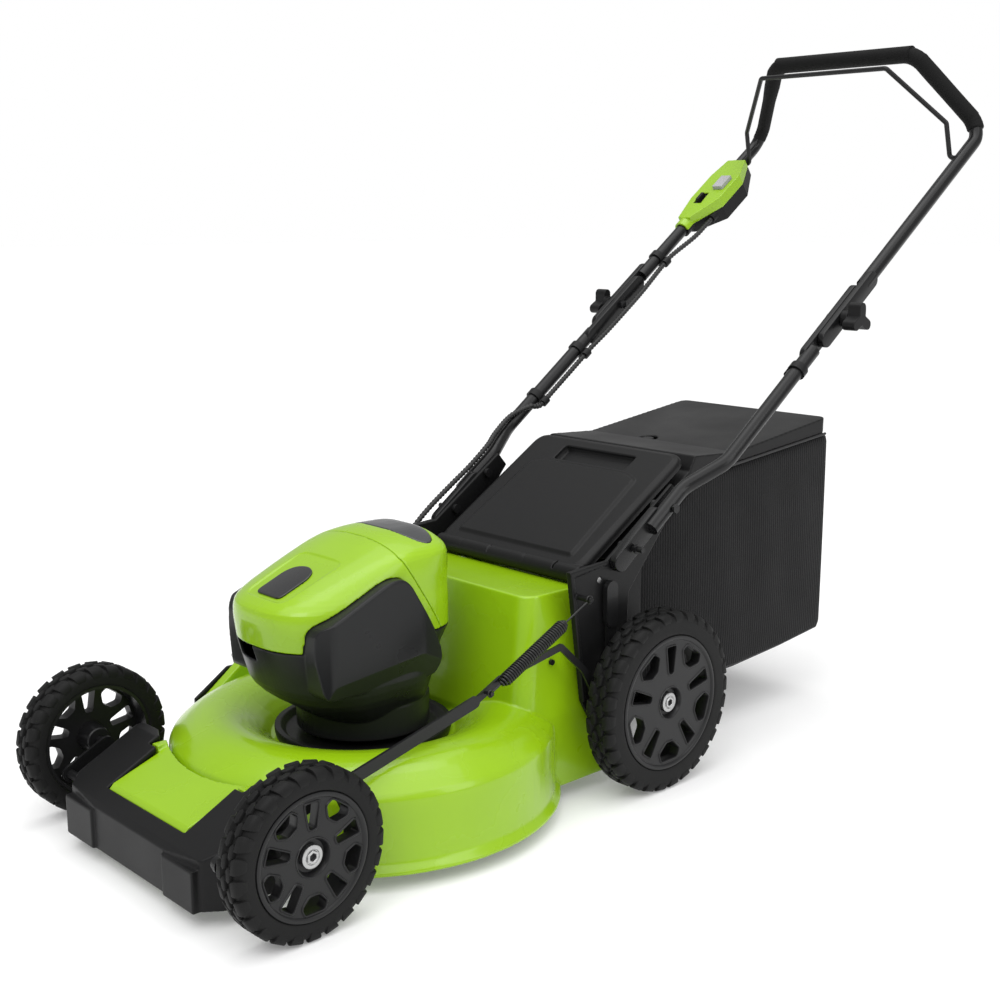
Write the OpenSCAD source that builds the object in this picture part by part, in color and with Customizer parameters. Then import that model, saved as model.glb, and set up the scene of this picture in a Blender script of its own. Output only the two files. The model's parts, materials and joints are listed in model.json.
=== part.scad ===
// Cordless push lawn mower with a rear grass bag.
// Millimetres, +Z up. The front of the mower faces -Y and the user's left is +X.
// Inside the modules Y is counted from the front wheel axis, and place() moves the whole
// machine so that the origin is at the middle of its footprint, on the ground.

/* [Wheels] */
// Diameter of each front wheel over its tread
front_wheel_d = 203; // [198:1:206]
// Width of each front wheel
front_wheel_w = 45; // [43:1:46]
// Diameter of each rear wheel over its tread
rear_wheel_d = 258; // [254:1:262]
// Width of each rear wheel
rear_wheel_w = 47; // [45:1:48]
// Overall width across the front wheels
front_track = 534; // [532:1:538]
// Overall width across the rear wheels
rear_track = 512; // [510:1:516]
// Distance from the front to the rear wheel axis
wheelbase = 618; // [615:1:621]
// Diameter of the wheel axles
axle_d = 12; // [11:0.5:12]

/* [Deck] */
// Radius of the deck's lip around the blade
deck_r = 270; // [268:1:272]
// Distance from the front wheel axis to the blade's axis
blade_y = 275; // [273:1:277]
// Height of the deck's lower lip above the ground
rim_z = 20; // [18:1:22]
// Height of the deck's highest ring around the motor
crown_z = 150; // [148:1:151]
// Thickness of the deck's plastic
wall = 4; // [3:0.5:5]
// Half the width of the discharge tunnel at its foot
tunnel_half_w = 176; // [174:1:177]

/* [Cutting] */
// Length of the blade from tip to tip
blade_len = 456; // [430:1:460]
// Width of the blade
blade_w = 55; // [45:1:60]
// Thickness of the blade
blade_t = 4; // [3:0.5:4]
// Diameter of the motor's case
motor_d = 100; // [90:1:104]

/* [Handle] */
// Diameter of the handle tubes
tube_d = 22; // [20:1:22]
// Distance from the middle to each handle tube
handle_x = 228; // [227:1:229]
// Diameter of the foam grip
foam_d = 28; // [26:1:30]
// Diameter of the bail lever's rod
bail_d = 8; // [6:1:8]
// Diameter of the control cable's sleeve
cable_d = 9; // [7:1:9]

/* [Grass bag] */
// Half the width of the grass bag
bag_half_w = 152; // [145:1:154]
// Thickness of the bag's plastic top
bag_top_t = 4; // [3:0.5:4]

/* [Hidden] */
$fn = 64;

green = [0.53, 0.78, 0.10];
black = [0.10, 0.10, 0.11];
dark = [0.16, 0.16, 0.17];
steel = [0.70, 0.71, 0.72];
grey = [0.55, 0.56, 0.56];

// Clearances
run_gap = 0.05;
part_gap = 0.3;

// Rows along the machine
front_r = front_wheel_d / 2;
rear_r = rear_wheel_d / 2;
grip_reach = 1430.5;
centre_y = (grip_reach - front_r) / 2;
axle_r = axle_d / 2;

// Crank arms: each wheel hangs behind and above a rod that turns in the chassis
crank_y = 53.5;
crank_z = 27;
link_pin_y = -28;
link_pin_z = 24;
front_pivot = [-crank_y, front_r - crank_z];
rear_pivot = [wheelbase - crank_y, rear_r - crank_z];
front_pin = front_pivot + [link_pin_y, link_pin_z];
rear_pin = rear_pivot + [link_pin_y, link_pin_z];
arm_x = 203;
arm_t = 5;
link_x = 196.5;
link_t = 4;

// Blade chamber
seat_r = 125;
crown_r = 195;
shoulder_r = 255;
wall_r = 262;
motor_top_z = 198;
seat_z = crown_z - 42;

// Top of the discharge tunnel, just under the flap's rounded front edge
tunnel_top = 291;

// Flap hinge and its slope
flap_y = 545;
flap_z = 305;
flap_r = 13;
flap_slope = 31.7;
flap_len = 262;
flap_half_w = 150;

// Fold joint of the handle, on the straight part of the tube
tube_r = tube_d / 2;
tube_slope = 36.14;
fold = [1024, 641.5];
bolt_r = 4;
tongue_t = 10.2;

// Lift spring, beside the height link
spring_x = 209.5;
spring_foot = [318, 202];
spring_head = [498, 291];

// Lid hinge
lid_y = 269;
lid_z = 382;

// Roundness of the housing's plan: 1 is a plain ellipse, smaller is squarer
front_fullness = 0.77;
rear_fullness = 0.5;

// Side discharge door
door_x = -271;
door_z = 158;
door_y0 = 250;
door_y1 = 330;

// ---------- shared shapes ----------

module place() translate([0, -centre_y, 0]) children();

module both_sides() {
  children();
  mirror([1, 0, 0]) children();
}

// Round bar along X between x0 and x1, at [y, z]
module bar_x(x0, x1, yz, r) {
  translate([x0, yz[0], yz[1]]) rotate([0, 90, 0]) cylinder(h = x1 - x0, r = r);
}

// Ring along X
module ring_x(x0, x1, yz, r_out, r_in) {
  difference() {
    bar_x(x0, x1, yz, r_out);
    bar_x(x0 - 1, x1 + 1, yz, r_in);
  }
}

// Flat plate between x0 and x1, whose outline is in Y and Z
module plate_x(x0, x1, outline) {
  translate([x0, 0, 0]) rotate([90, 0, 90]) linear_extrude(x1 - x0) polygon(outline);
}

// Flat bar with round ends between two [y, z] points
function capsule(a, b, r, n = 10) = let (t = atan2(b[1] - a[1], b[0] - a[0])) concat(
  [for (i = [0 : n]) a + r * [cos(t + 90 + 180 * i / n), sin(t + 90 + 180 * i / n)]],
  [for (i = [0 : n]) b + r * [cos(t - 90 + 180 * i / n), sin(t - 90 + 180 * i / n)]]);
module strap_x(x0, x1, a, b, r) {
  plate_x(x0, x1, capsule(a, b, r));
}

// Convex body through rounded rectangles. Each section is
// [half width, front y, rear y, corner radius, z]
module loft(sections) {
  hull() for (s = sections) for (x = [-1, 1]) for (y = [s[1] + s[3], s[2] - s[3]])
    translate([x * (s[0] - s[3]), y, s[4]]) cylinder(h = 0.5, r = s[3], $fn = 32);
}

// Convex body through flat-sided ovals that are fuller at the rear. Each section is
// [half width, front y, rear y, z]
function oval(s, n = 48) = [for (i = [0 : n - 1])
  let (a = 360 * i / n, e = sin(a) > 0 ? rear_fullness : front_fullness)
  [s[0] * sign(cos(a)) * pow(abs(cos(a)), e),
   (s[1] + s[2]) / 2 + (s[2] - s[1]) / 2 * sign(sin(a)) * pow(abs(sin(a)), e)]];
module shell(sections) {
  hull() for (s = sections) translate([0, 0, s[3]]) linear_extrude(0.5) polygon(oval(s));
}

function inset(sections, t, dz) = [for (s = sections) [s[0] - t, s[1] + t, s[2] - t, s[3] + dz]];

// Points of a path with each inner corner rounded to radius r in n steps
function unit(v) = v / norm(v);
function corner(a, b, c, r, n) =
  let (u = unit(a - b), w = unit(c - b), half = acos(u * w) / 2, reach = r / tan(half),
       mid = unit(u + w), centre = b + mid * r / sin(half),
       p = b + u * reach - centre, q = b + w * reach - centre, sweep = 180 - 2 * half)
  [for (i = [0 : n]) centre + (p * sin(sweep * (1 - i / n)) + q * sin(sweep * i / n)) / sin(sweep)];
function rounded(points, r, n = 6) = concat(
  [points[0]],
  [for (i = [1 : len(points) - 2])
    for (p = corner(points[i - 1], points[i], points[i + 1], r, n)) p],
  [points[len(points) - 1]]);

// Round tube swept along a path, by carrying one side direction from ring to ring
function tangent(p, i) =
  unit(p[min(i + 1, len(p) - 1)] - p[max(i - 1, 0)]);
function carried(p, u, i = 0) =
  i == len(p) ? [] : let (t = tangent(p, i), v = unit(u - (u * t) * t)) concat([v], carried(p, v, i + 1));
function ring_points(path, r, sides) = let (side = carried(path, [0.31, 0.52, 0.8]))
  [for (i = [0 : len(path) - 1]) for (k = [0 : sides - 1])
    let (t = tangent(path, i), a = -360 * k / sides)
    path[i] + r * (cos(a) * side[i] + sin(a) * cross(t, side[i]))];
function wall_faces(rings, sides, first = 0) =
  [for (i = [0 : rings - 2]) for (k = [0 : sides - 1])
    let (j = (k + 1) % sides, a = first + i * sides)
    [a + k, a + j, a + sides + j, a + sides + k]];
module swept(path, r, sides) {
  last = (len(path) - 1) * sides;
  caps = [[for (k = [sides - 1 : -1 : 0]) k], [for (k = [0 : sides - 1]) last + k]];
  polyhedron(points = ring_points(path, r, sides), faces = concat(wall_faces(len(path), sides), caps),
    convexity = 6);
}

// The same with a hollow middle, open at both ends
module swept_sleeve(path, r_out, r_in, sides) {
  count = len(path) * sides;
  last = count - sides;
  inner = [for (f = wall_faces(len(path), sides, count)) [f[3], f[2], f[1], f[0]]];
  ends = [for (k = [0 : sides - 1]) let (j = (k + 1) % sides) each
    [[k, count + k, count + j, j], [last + k, last + j, count + last + j, count + last + k]]];
  polyhedron(points = concat(ring_points(path, r_out, sides), ring_points(path, r_in, sides)),
    faces = concat(wall_faces(len(path), sides), inner, ends), convexity = 10);
}

// ---------- deck and front ----------

function crown_height(r) = crown_z - 36 * pow((r - crown_r) / 65, 2);

// Half section of the dome, drawn t inside its outer skin
function dome_section(t) = concat(
  [[0, rim_z - (t > 0 ? 1 : 0)], [t > 0 ? wall_r - t : deck_r, rim_z - (t > 0 ? 1 : 0)],
   [t > 0 ? wall_r - t : deck_r, rim_z + 4], [wall_r - t, rim_z + 14],
   [wall_r - 2 - t, 100], [wall_r - 3 - t, 112 - t / 2]],
  [for (r = [shoulder_r : -10 : seat_r + 9]) [r - t / 2, crown_height(r) - t]],
  [[seat_r, seat_z - t], [0, seat_z - t]]);

tunnel = [
  [tunnel_half_w, 402, 600, 25, rim_z], [tunnel_half_w, 402, 600, 25, 125],
  [150, 440, 570, 25, tunnel_top]];

door_outline = [[182, 36], [182, 104], [244, 150], [336, 150], [384, 104], [384, 36]];

module deck() color(green) place() {
  difference() {
    union() {
      translate([0, blade_y, 0]) rotate_extrude($fn = 128) polygon(dome_section(0));
      loft(tunnel);
      plate_x(-268, -250, door_outline);
      // Ledge that carries the front panel
      plate_x(-86, 86, [[-40, 82], [60, 82], [60, 90], [-40, 86]]);
    }
    translate([0, blade_y, 0]) rotate_extrude($fn = 128) polygon(dome_section(wall));
    loft([[tunnel_half_w - wall, 406, 640, 20, rim_z - 1], [tunnel_half_w - wall, 406, 640, 20, 120],
          [146, 444, 640, 20, tunnel_top - 5]]);
    // Slanted mouth of the tunnel and the clearance for the flap's hinge
    plate_x(-200, 200, [[556, 340], [556, 290], [622, 140], [622, 0], [660, 0], [660, 340]]);
    bar_x(-200, 200, [flap_y, flap_z], flap_r + 3);
    plate_x(-200, 200, [[flap_y - 2, 296], [600, 250], [600, 340], [flap_y - 2, 340]]);
    // Motor opening
    translate([0, blade_y, seat_z - 20]) cylinder(h = 40, r = 60);
    // Side discharge opening
    plate_x(-290, -200, [[206, 46], [206, 106], [364, 106], [364, 46]]);
    // Room for the rear pivot rod and for the blade tips
    bar_x(-210, 210, rear_pivot, axle_r + 1);
  }
  // Ramp that lifts the clippings over the rear pivot rod
  plate_x(-tunnel_half_w + wall, tunnel_half_w - wall,
    [[512, rim_z + 4], [548, 122], [612, 136], [612, 140], [545, 126], [508, rim_z + 4]]);
  // Lugs for the side door's hinge pin
  for (y = [door_y0 - 7, door_y1 + 1]) difference() {
    translate([door_x - 4, y, 145]) cube([11, 6, 18]);
    translate([door_x, y - 1, door_z]) rotate([-90, 0, 0]) cylinder(h = 8, r = 2.5 + run_gap);
  }
}

module bumper_body(t) {
  hull() for (x = [-1, 1]) {
    translate([x * 84, -76 + t, rim_z + 1]) cylinder(h = 55 - t, r = 8 - t / 2, $fn = 32);
    translate([x * (150 - t), -70 + t, rim_z + 1]) cylinder(h = 62 - t, r = 8 - t / 2, $fn = 32);
    translate([x * (162 - t), -54 + t, rim_z + 1]) cylinder(h = 70 - t, r = 8 - t / 2, $fn = 32);
    translate([x * (162 - t), 30, rim_z + 1]) cylinder(h = 112 - t, r = 8 - t / 2, $fn = 32);
  }
}

// Flat pads at the front of the bumper
pad_x = 118;
pad_w = 68;
pad_h = 52;

module front_bumper() color(black) place() difference() {
  union() {
    bumper_body(0);
    for (x = [-1, 1]) translate([x * pad_x - pad_w / 2, -88, rim_z]) cube([pad_w, 30, pad_h]);
  }
  translate([0, 0, -wall]) bumper_body(wall);
  // Open towards the deck, with room for the dome and the panel
  translate([0, blade_y, 0]) cylinder(h = 200, r = deck_r + 1.5, $fn = 128);
  plate_x(-92, 92, [[-42, 81], [80, 81], [80, 200], [-42, 200]]);
  // Windows for the panel's ribs
  both_sides() translate([90, 11, 85]) cube([20, 28, 60]);
  plate_x(-92, 92, [[-60, 78], [-30, 78], [-30, 200], [-60, 200]]);
  for (x = [-180, 0]) bar_x(x, x + 180, front_pivot, axle_r + run_gap);
}

module front_panel() color(green) place() difference() {
  union() {
    plate_x(-90, 90, [[-58, 84], [-46, 90.3], [38, 122], [38, 128], [-52, 96], [-58, 90]]);
    both_sides() plate_x(86, 91, [[-50, 90.3], [38, 90.3], [38, 128], [-52, 96]]);
    both_sides() for (i = [0 : 3]) translate([93 + 4 * i, 14, 91]) cube([2, 22, 36]);
    both_sides() translate([88, 14, 91]) cube([20, 22, 6]);
  }
  translate([0, blade_y, 0]) cylinder(h = 200, r = wall_r + 1, $fn = 128);
}

module deck_screws() color(dark) place() {
  both_sides() for (p = [[430, 60, tunnel_half_w + 0.3], [470, 200, 165.2]])
    bar_x(p[2], p[2] + 4, [p[0], p[1]], 4);
}

// ---------- motor, blade and battery ----------

module motor_base() color(black) place() translate([0, blade_y, seat_z + 0.2]) difference() {
  union() {
    cylinder(h = 6, r = 118);
    rotate_extrude() polygon([[100, 0], [118, 0], [120, 8], [120, 15], [112, 15], [104, 6]]);
    cylinder(h = 16, r = 58);
  }
  translate([0, 0, -1]) cylinder(h = 30, r = 18);
}

module motor_can() color(steel) place() translate([0, blade_y, 0]) difference() {
  translate([0, 0, seat_z + 16.4]) cylinder(h = motor_top_z - seat_z - 16.4, r = motor_d / 2);
  translate([0, 0, 134]) cylinder(h = 56, r = motor_d / 2 - 4);
  translate([0, 0, 100]) cylinder(h = 120, r = 9);
  translate([0, 0, 127]) cylinder(h = 8, r = 16 + run_gap);
  translate([0, 0, 189]) cylinder(h = 8, r = 16 + run_gap);
}

module motor_bearings() color(steel) place() for (z = [127.2, 189.2]) difference() {
  translate([0, blade_y, z]) cylinder(h = 6.6, r = 16);
  translate([0, blade_y, z - 1]) cylinder(h = 9, r = 6 + run_gap);
}

module rotor_core() color([0.72, 0.45, 0.20]) place() translate([0, blade_y, 0]) difference() {
  union() {
    translate([0, 0, 140]) cylinder(h = 34, r = 40);
    for (a = [0 : 45 : 315]) rotate([0, 0, a]) translate([26, 0, 136]) cylinder(h = 44, r = 8);
    translate([0, 0, 170]) cylinder(h = 16, r = 20);
  }
  translate([0, 0, 100]) cylinder(h = 100, r = 6 + run_gap);
}

module motor_shaft() color(steel) place() translate([0, blade_y, 0]) difference() {
  translate([0, 0, 58]) cylinder(h = 139, r = 6);
  translate([0, 0, 57]) cylinder(h = 18, r = 4 + run_gap);
}

module blade_adapter() color(dark) place() translate([0, blade_y, 0]) difference() {
  union() {
    translate([0, 0, 42.2]) cylinder(h = 8, r = 32);
    translate([0, 0, 42.2]) cylinder(h = 44, r = 16);
    for (a = [0 : 60 : 300]) rotate([0, 0, a]) translate([14, -1.5, 48]) cube([30, 3, 22]);
  }
  translate([0, 0, 57.8]) cylinder(h = 40, r = 6 + run_gap);
  translate([0, 0, 40]) cylinder(h = 30, r = 4 + 4 * run_gap);
}

module blade() color(steel) place() translate([0, blade_y, 42 - blade_t]) difference() {
  union() {
    translate([-blade_len / 2 + 70, -blade_w / 2, 0]) cube([blade_len - 140, blade_w, blade_t]);
    for (a = [0, 180]) rotate([0, 0, a]) {
      translate([blade_len / 2 - 76, 0, 0]) rotate([90, 0, 0])
        linear_extrude(blade_w / 2) polygon([[0, 0], [70, 0], [70, blade_t], [0, blade_t]]);
      // Lift wing, bent up along the trailing edge
      translate([blade_len / 2 - 76, 0, 0]) rotate([90, 0, 90]) linear_extrude(70)
        polygon([[-2, 0], [14, 0], [blade_w / 2, 13], [blade_w / 2, 17], [12, blade_t], [-2, blade_t]]);
    }
  }
  translate([0, 0, -1]) cylinder(h = 10, r = 4 + 4 * run_gap);
}

module blade_bolt() color(steel) place() translate([0, blade_y, 0]) {
  translate([0, 0, 27]) cylinder(h = 8, r = 9, $fn = 6);
  translate([0, 0, 35]) cylinder(h = 42 - blade_t - 35 - 0.1, r = 16);
  translate([0, 0, 35]) cylinder(h = 36, r = 4);
}

// Lower half of the housing, and the cover with its lid
housing_low = [
  [78, 200, 330, 146], [104, 128, 340, 192], [106, 114, 350, 232], [106, 104, 372, 261.5]];
housing_high = [
  [106, 104, 372, 262.8], [104, 98, 374, 300], [100, 104, 374, 317], [98, 168, 374, 344.5],
  [93, 232, 370, 367.5], [66, 262, 362, 379.5], [36, 288, 350, 387.5]];
skin = 3;
lid_outline = [
  [lid_y, 420], [lid_y, 366], [336, 262], [420, 262], [420, 420]];
cover_outline = [
  [60, 262], [335.7, 262], [lid_y - part_gap, 366], [lid_y - part_gap, 420], [60, 420]];

// Dark pod on each side: its outline seen from the side, and its plan as [x, y]
pod_outline = [
  [138, 205], [128, 262], [130, 296], [236, 342], [258, 344], [272, 334], [316, 262],
  [330, 228], [322, 200]];
pod_plan = [[50, 120], [94, 126], [112, 146], [112, 292], [104, 332], [50, 340]];

module pod(grow) intersection() {
  translate([50, 0, 0]) rotate([90, 0, 90]) linear_extrude(70) offset(delta = grow) polygon(pod_outline);
  translate([0, 0, 190]) linear_extrude(170) offset(delta = grow) polygon(pod_plan);
}

module motor_housing() color(dark) place() difference() {
  union() {
    translate([0, blade_y, seat_z + 16.4]) cylinder(h = 40, r = 90);
    shell(housing_low);
    both_sides() pod(0);
  }
  translate([0, blade_y, seat_z]) cylinder(h = 52, r = 86);
  shell(concat(inset(housing_low, 4, 0), [inset(housing_low, 4, 2)[3]]));
  shell(inset(housing_high, skin, -skin));
  // Air inlet under the front of the cover
  plate_x(-48, -6, [[90, 240], [150, 240], [150, 270], [90, 270]]);
}

// Skin of the cover and the lid together
module cover_skin() difference() {
  shell(housing_high);
  shell(inset(housing_high, skin, -skin));
}

module motor_cover() color(green) place() difference() {
  intersection() {
    cover_skin();
    plate_x(-130, 130, cover_outline);
  }
  both_sides() pod(part_gap);
}

window_at = [0, 328];
window_half = [78, 28];
module window_prism(t) translate([window_at[0], window_at[1], 350]) linear_extrude(60)
  polygon([for (i = [0 : 47]) [(window_half[0] - t) * cos(i * 7.5), (window_half[1] - t) * sin(i * 7.5)]]);

module battery_lid() color(green) place() difference() {
  intersection() {
    cover_skin();
    plate_x(-130, 130, lid_outline);
  }
  window_prism(0);
}

module lid_window() color(dark) place() intersection() {
  cover_skin();
  window_prism(part_gap);
}

module controller_board() color([0.1, 0.35, 0.2]) place() {
  translate([-42, 142, 206]) cube([84, 60, 2]);
  for (x = [-26, 0, 26]) translate([x, 160, 207.9]) cylinder(h = 26, r = 9);
  translate([-34, 180, 207.9]) cube([68, 12, 14]);
}

module battery_tray() color(black) place() difference() {
  translate([-50, 250, 203]) cube([100, 82, 62]);
  translate([-46, 254, 207]) cube([92, 74, 70]);
}

module battery_pack() color(dark) place() {
  translate([-44, 256, 214]) cube([88, 70, 116]);
  translate([-30, 264, 329.9]) cube([60, 22, 18]);
  for (x = [-24, 0, 24]) translate([x - 4, 284, 207.2]) cube([8, 30, 7]);
}

// ---------- doors ----------

module rear_flap() color(black) place() difference() {
  union() {
    bar_x(-flap_half_w + 1, flap_half_w - 1, [flap_y, flap_z], flap_r);
    translate([0, flap_y, flap_z]) rotate([flap_slope, 0, 0]) {
      translate([-flap_half_w, 0, -3]) cube([2 * flap_half_w, flap_len, 15]);
      translate([-118, 16, 11]) cube([236, flap_len - 16, 4.5]);
    }
  }
  bar_x(-200, 200, [flap_y, flap_z], 4 + run_gap);
  translate([0, flap_y, flap_z]) rotate([flap_slope, 0, 0]) {
    translate([-74, 204, 1]) cube([148, 34, 40]);
    translate([-flap_half_w + 5, 22, -4]) cube([2 * flap_half_w - 10, 170, 8]);
  }
}

module side_door() color(black) place() difference() {
  union() {
    plate_x(door_x - 3, door_x + 2, [[176, 34], [176, 106], [232, 143], [348, 143], [390, 106], [390, 34]]);
    translate([door_x, door_y0 - 0.5, door_z]) rotate([-90, 0, 0])
      cylinder(h = door_y1 - door_y0 + 1, r = 5);
    plate_x(door_x - 3, door_x + 2, [[door_y0 + 0.5, 140], [door_y0 + 0.5, door_z],
      [door_y1 - 0.5, door_z], [door_y1 - 0.5, 140]]);
  }
  translate([door_x, door_y0 - 5, door_z]) rotate([-90, 0, 0]) cylinder(h = 100, r = 2.5 + run_gap);
}

module hinge_pins() color(steel) place() {
  bar_x(-183, 183, [flap_y, flap_z], 4);
  translate([door_x, door_y0 - 9, door_z]) rotate([-90, 0, 0]) cylinder(h = 98, r = 2.5);
}

// ---------- handle ----------

bracket_outline = [
  [484, 326], [512, 138], [540, 90], [590, 88], [600, 150], [606, 278], [712, 400],
  [694, 420], [560, 330]];

module bracket(side) place() difference() {
  union() {
    plate_x(178.4, 184, bracket_outline);
    // Rim along the front edge of the plate
    plate_x(184, 188, [[484, 326], [512, 138], [518, 140], [492, 318], [560, 326], [560, 331]]);
    // Stud that holds the lift spring
    if (side > 0) bar_x(184, 214, spring_head, 4);
  }
  bar_x(150, 200, rear_pivot, axle_r + run_gap);
  bar_x(150, 200, [flap_y, flap_z], 4 + run_gap);
  for (p = [[600, 343], [668, 392]]) bar_x(150, 200, p, bolt_r + run_gap);
}

module left_handle_bracket() color(black) bracket(1);

module right_handle_bracket() color(black) mirror([1, 0, 0]) bracket(-1);

// Centre line of a lower handle tube, as [x, y, z]
lower_line = [
  [199, 640, 372], [199, 700, 415.5], [handle_x, 760, 448.7], [handle_x, 958, 593.3]];
foot_a = [578, 326.8];
foot_b = [650, 379.4];

module lower_handle() place() difference() {
  union() {
    swept(rounded(lower_line, 60, 3), tube_r, 16);
    // Flattened foot, bolted to the bracket
    strap_x(184.3, 196, foot_a, foot_b, 14);
    // Flattened tongue that meets the upper handle
    strap_x(handle_x - 0.4 - tongue_t, handle_x - 0.4, fold - [70, 51.1], fold + [48, 35], 13);
  }
  bar_x(180, 240, fold, bolt_r + run_gap);
  for (p = [[600, 343], [668, 392]]) bar_x(180, 220, p, bolt_r + run_gap);
}

module left_lower_handle() color(black) lower_handle();

module right_lower_handle() color(black) mirror([1, 0, 0]) lower_handle();

module bracket_bolts() color(steel) place() both_sides() for (p = [[600, 343], [668, 392]]) {
  bar_x(174, 214, p, bolt_r);
  translate([p[1] > 360 ? 211.5 : 200.5, p[0], p[1]]) rotate([0, 90, 0]) cylinder(h = 4, r = 7, $fn = 6);
  bar_x(172, 178, p, 7);
}

module handle_bolts() color(steel) place() both_sides() {
  bar_x(212, 266, fold, bolt_r);
  translate([211, fold[0], fold[1]]) rotate([0, 90, 0]) cylinder(h = 5.6, r = 7, $fn = 6);
}

// Centre line of the upper handle, from the left tongue over the grip to the right tongue
fold_end = [fold[0] + 68, fold[1] + 49.7];
upper_half = [
  [handle_x, fold_end[0], fold_end[1]], [handle_x, 1424, 933.5], [140, 1344, 1058]];
function mirrored(points) = [for (i = [len(points) - 1 : -1 : 0])
  [-points[i][0], points[i][1], points[i][2]]];
upper_line = rounded(concat(upper_half, mirrored(upper_half)), 38, 6);
// The foam covers it from the middle of its first bend to the middle of its last
grip_line = [for (i = [4 : len(upper_line) - 5]) upper_line[i]];

module upper_handle() color(black) place() difference() {
  union() {
    swept(upper_line, tube_r, 16);
    both_sides() strap_x(handle_x + 0.4, handle_x + 0.4 + tongue_t, fold - [40, 29.2], fold + [76, 55.5], 13);
  }
  bar_x(-260, -200, fold, bolt_r + run_gap);
  bar_x(200, 260, fold, bolt_r + run_gap);
  // Holes for the bail lever's ends
  bar_x(-260, -200, bail_pivot, bail_d / 2 + run_gap);
  bar_x(200, 260, bail_pivot, bail_d / 2 + run_gap);
}

module foam_grip() color(dark) place() swept_sleeve(grip_line, foam_d / 2, tube_r + 0.6, 16);

// Bail lever: a rod whose two ends turn in the handle tubes
bail_pivot = [1362, 888.2];
bail_half = [
  [218, bail_pivot[0], bail_pivot[1]], [206, bail_pivot[0], bail_pivot[1]],
  [204, 1348, 944], [126, 1282, 1032]];

module bail_lever() color(black) place() {
  swept(rounded(concat(bail_half, mirrored(bail_half)), 7, 4), bail_d / 2, 12);
  both_sides() bar_x(213, handle_x + 8, bail_pivot, bail_d / 2);
}

module knob() place() difference() {
  union() {
    bar_x(handle_x + 11.3, handle_x + 23, fold, 13);
    for (a = [90, 210, 330]) translate([0, fold[0], fold[1]]) rotate([a, 0, 0])
      strap_x(handle_x + 22, handle_x + 44, [0, 0], [17, 0], 8);
  }
  bar_x(handle_x, handle_x + 38.6, fold, bolt_r + run_gap);
}

module left_knob() color(black) knob();

module right_knob() color(black) mirror([1, 0, 0]) knob();

// Switch box around the right handle tube, drawn along the tube
box_at = [1197, 768];
box_len = 196;

module in_box() translate([-handle_x, box_at[0], box_at[1]]) rotate([tube_slope, 0, 0]) children();

module box_outer() in_box() hull() {
  translate([-13, 16, -16]) cube([26, 10, 32]);
  translate([-18, 70, -26]) cube([66, 70, 46]);
  translate([-15, box_len - 12, -18]) cube([40, 10, 34]);
}

module box_inner() in_box() hull() {
  translate([-10, 19, -13]) cube([20, 7, 26]);
  translate([-15, 73, -23]) cube([60, 64, 40]);
  translate([-12, box_len - 15, -15]) cube([34, 10, 28]);
}

module box_common(above) color(green) place() difference() {
  intersection() {
    union() {
      difference() {
        box_outer();
        box_inner();
      }
      // Collars that grip the tube, and the boss of the cable
      in_box() for (y = [0, box_len - 20]) translate([0, y, 0]) rotate([-90, 0, 0]) cylinder(h = 20, r = 15);
      in_box() translate([34, 44, -8]) rotate([-90, 0, 0]) cylinder(h = 30, r = 8);
    }
    in_box() translate([-60, -10, above ? 0.1 : -60.1]) cube([160, 240, 60]);
  }
  in_box() translate([0, -20, 0]) rotate([-90, 0, 0]) cylinder(h = 260, r = tube_r + 0.2);
  in_box() translate([34, 30, -8]) rotate([-90, 0, 0]) cylinder(h = 60, r = cable_d / 2 + 0.2);
  // Openings of the button and of the key, in the upper face
  if (above) in_box() {
    translate([16, 96, 0]) cube([22, 34, 40]);
    translate([-4, 56, 12.5]) cube([18, 30, 40]);
  }
}

module switch_box() box_common(true);

module switch_box_back() box_common(false);

module start_button() color(grey) place() in_box() {
  translate([16.4, 96.4, 12]) cube([21.2, 33.2, 14.5]);
}

module safety_key() color(dark) place() in_box() {
  translate([-3.4, 56.6, 13.2]) cube([16.8, 28.8, 3]);
  translate([2, 60, 16.1]) cube([6, 20, 9]);
}

module clip(at, side) {
  translate([side * handle_x, at[0], at[1]]) rotate([tube_slope, 0, 0]) difference() {
    union() {
      rotate([-90, 0, 0]) cylinder(h = 12, r = tube_r + 3);
      translate([-side * (tube_r + 6), 0, -8]) rotate([-90, 0, 0]) cylinder(h = 12, r = cable_d / 2 + 3);
    }
    translate([0, -1, 0]) rotate([-90, 0, 0]) cylinder(h = 14, r = tube_r + 0.3);
    translate([-side * (tube_r + 6), -1, -8]) rotate([-90, 0, 0]) cylinder(h = 14, r = cable_d / 2 + 0.3);
  }
}

module lower_cable_clips() color(black) place() {
  clip([820, 492.5], -1);
  clip([920, 565.5], -1);
  clip([920, 565.5], 1);
}

module upper_cable_clip() color(black) place() clip([1125, 715.3], -1);

// Route of the control cable, from the switch box down to the motor housing
cable_x = -handle_x + tube_r + 6;
cable_route = [
  [-194, 1256, 801.2], [-194, 1237, 787.3], [-194, 1222, 776.4], [-198, 1195, 755],
  [cable_x, 1149, 723.1], [cable_x, 1120, 701.7], [-208, 1070, 664], [-205, 1024, 633],
  [-207, 980, 600], [cable_x, 944.1, 573.2], [cable_x, 915, 551.9], [cable_x, 844, 500.2],
  [cable_x, 822, 484.1], [-210, 808, 482], [-213, 796.5, 483], [-221, 760.6, 469.5],
  [-213, 719.7, 447], [-201, 689.7, 430], [-200, 649.7, 401], [-203, 609.5, 373],
  [-203, 565, 343], [-202, 530, 314], [-200, 505, 284], [-198, 490, 255],
  [-194, 474, 228], [-188, 452, 206], [-176, 430, 192], [-156, 408, 184],
  [-131, 380, 182], [-108, 352, 182], [-85.2, 324.8, 182]];

module control_cable() color(black) place() swept(cable_route, cable_d / 2, 8);

// ---------- grass bag ----------

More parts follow.
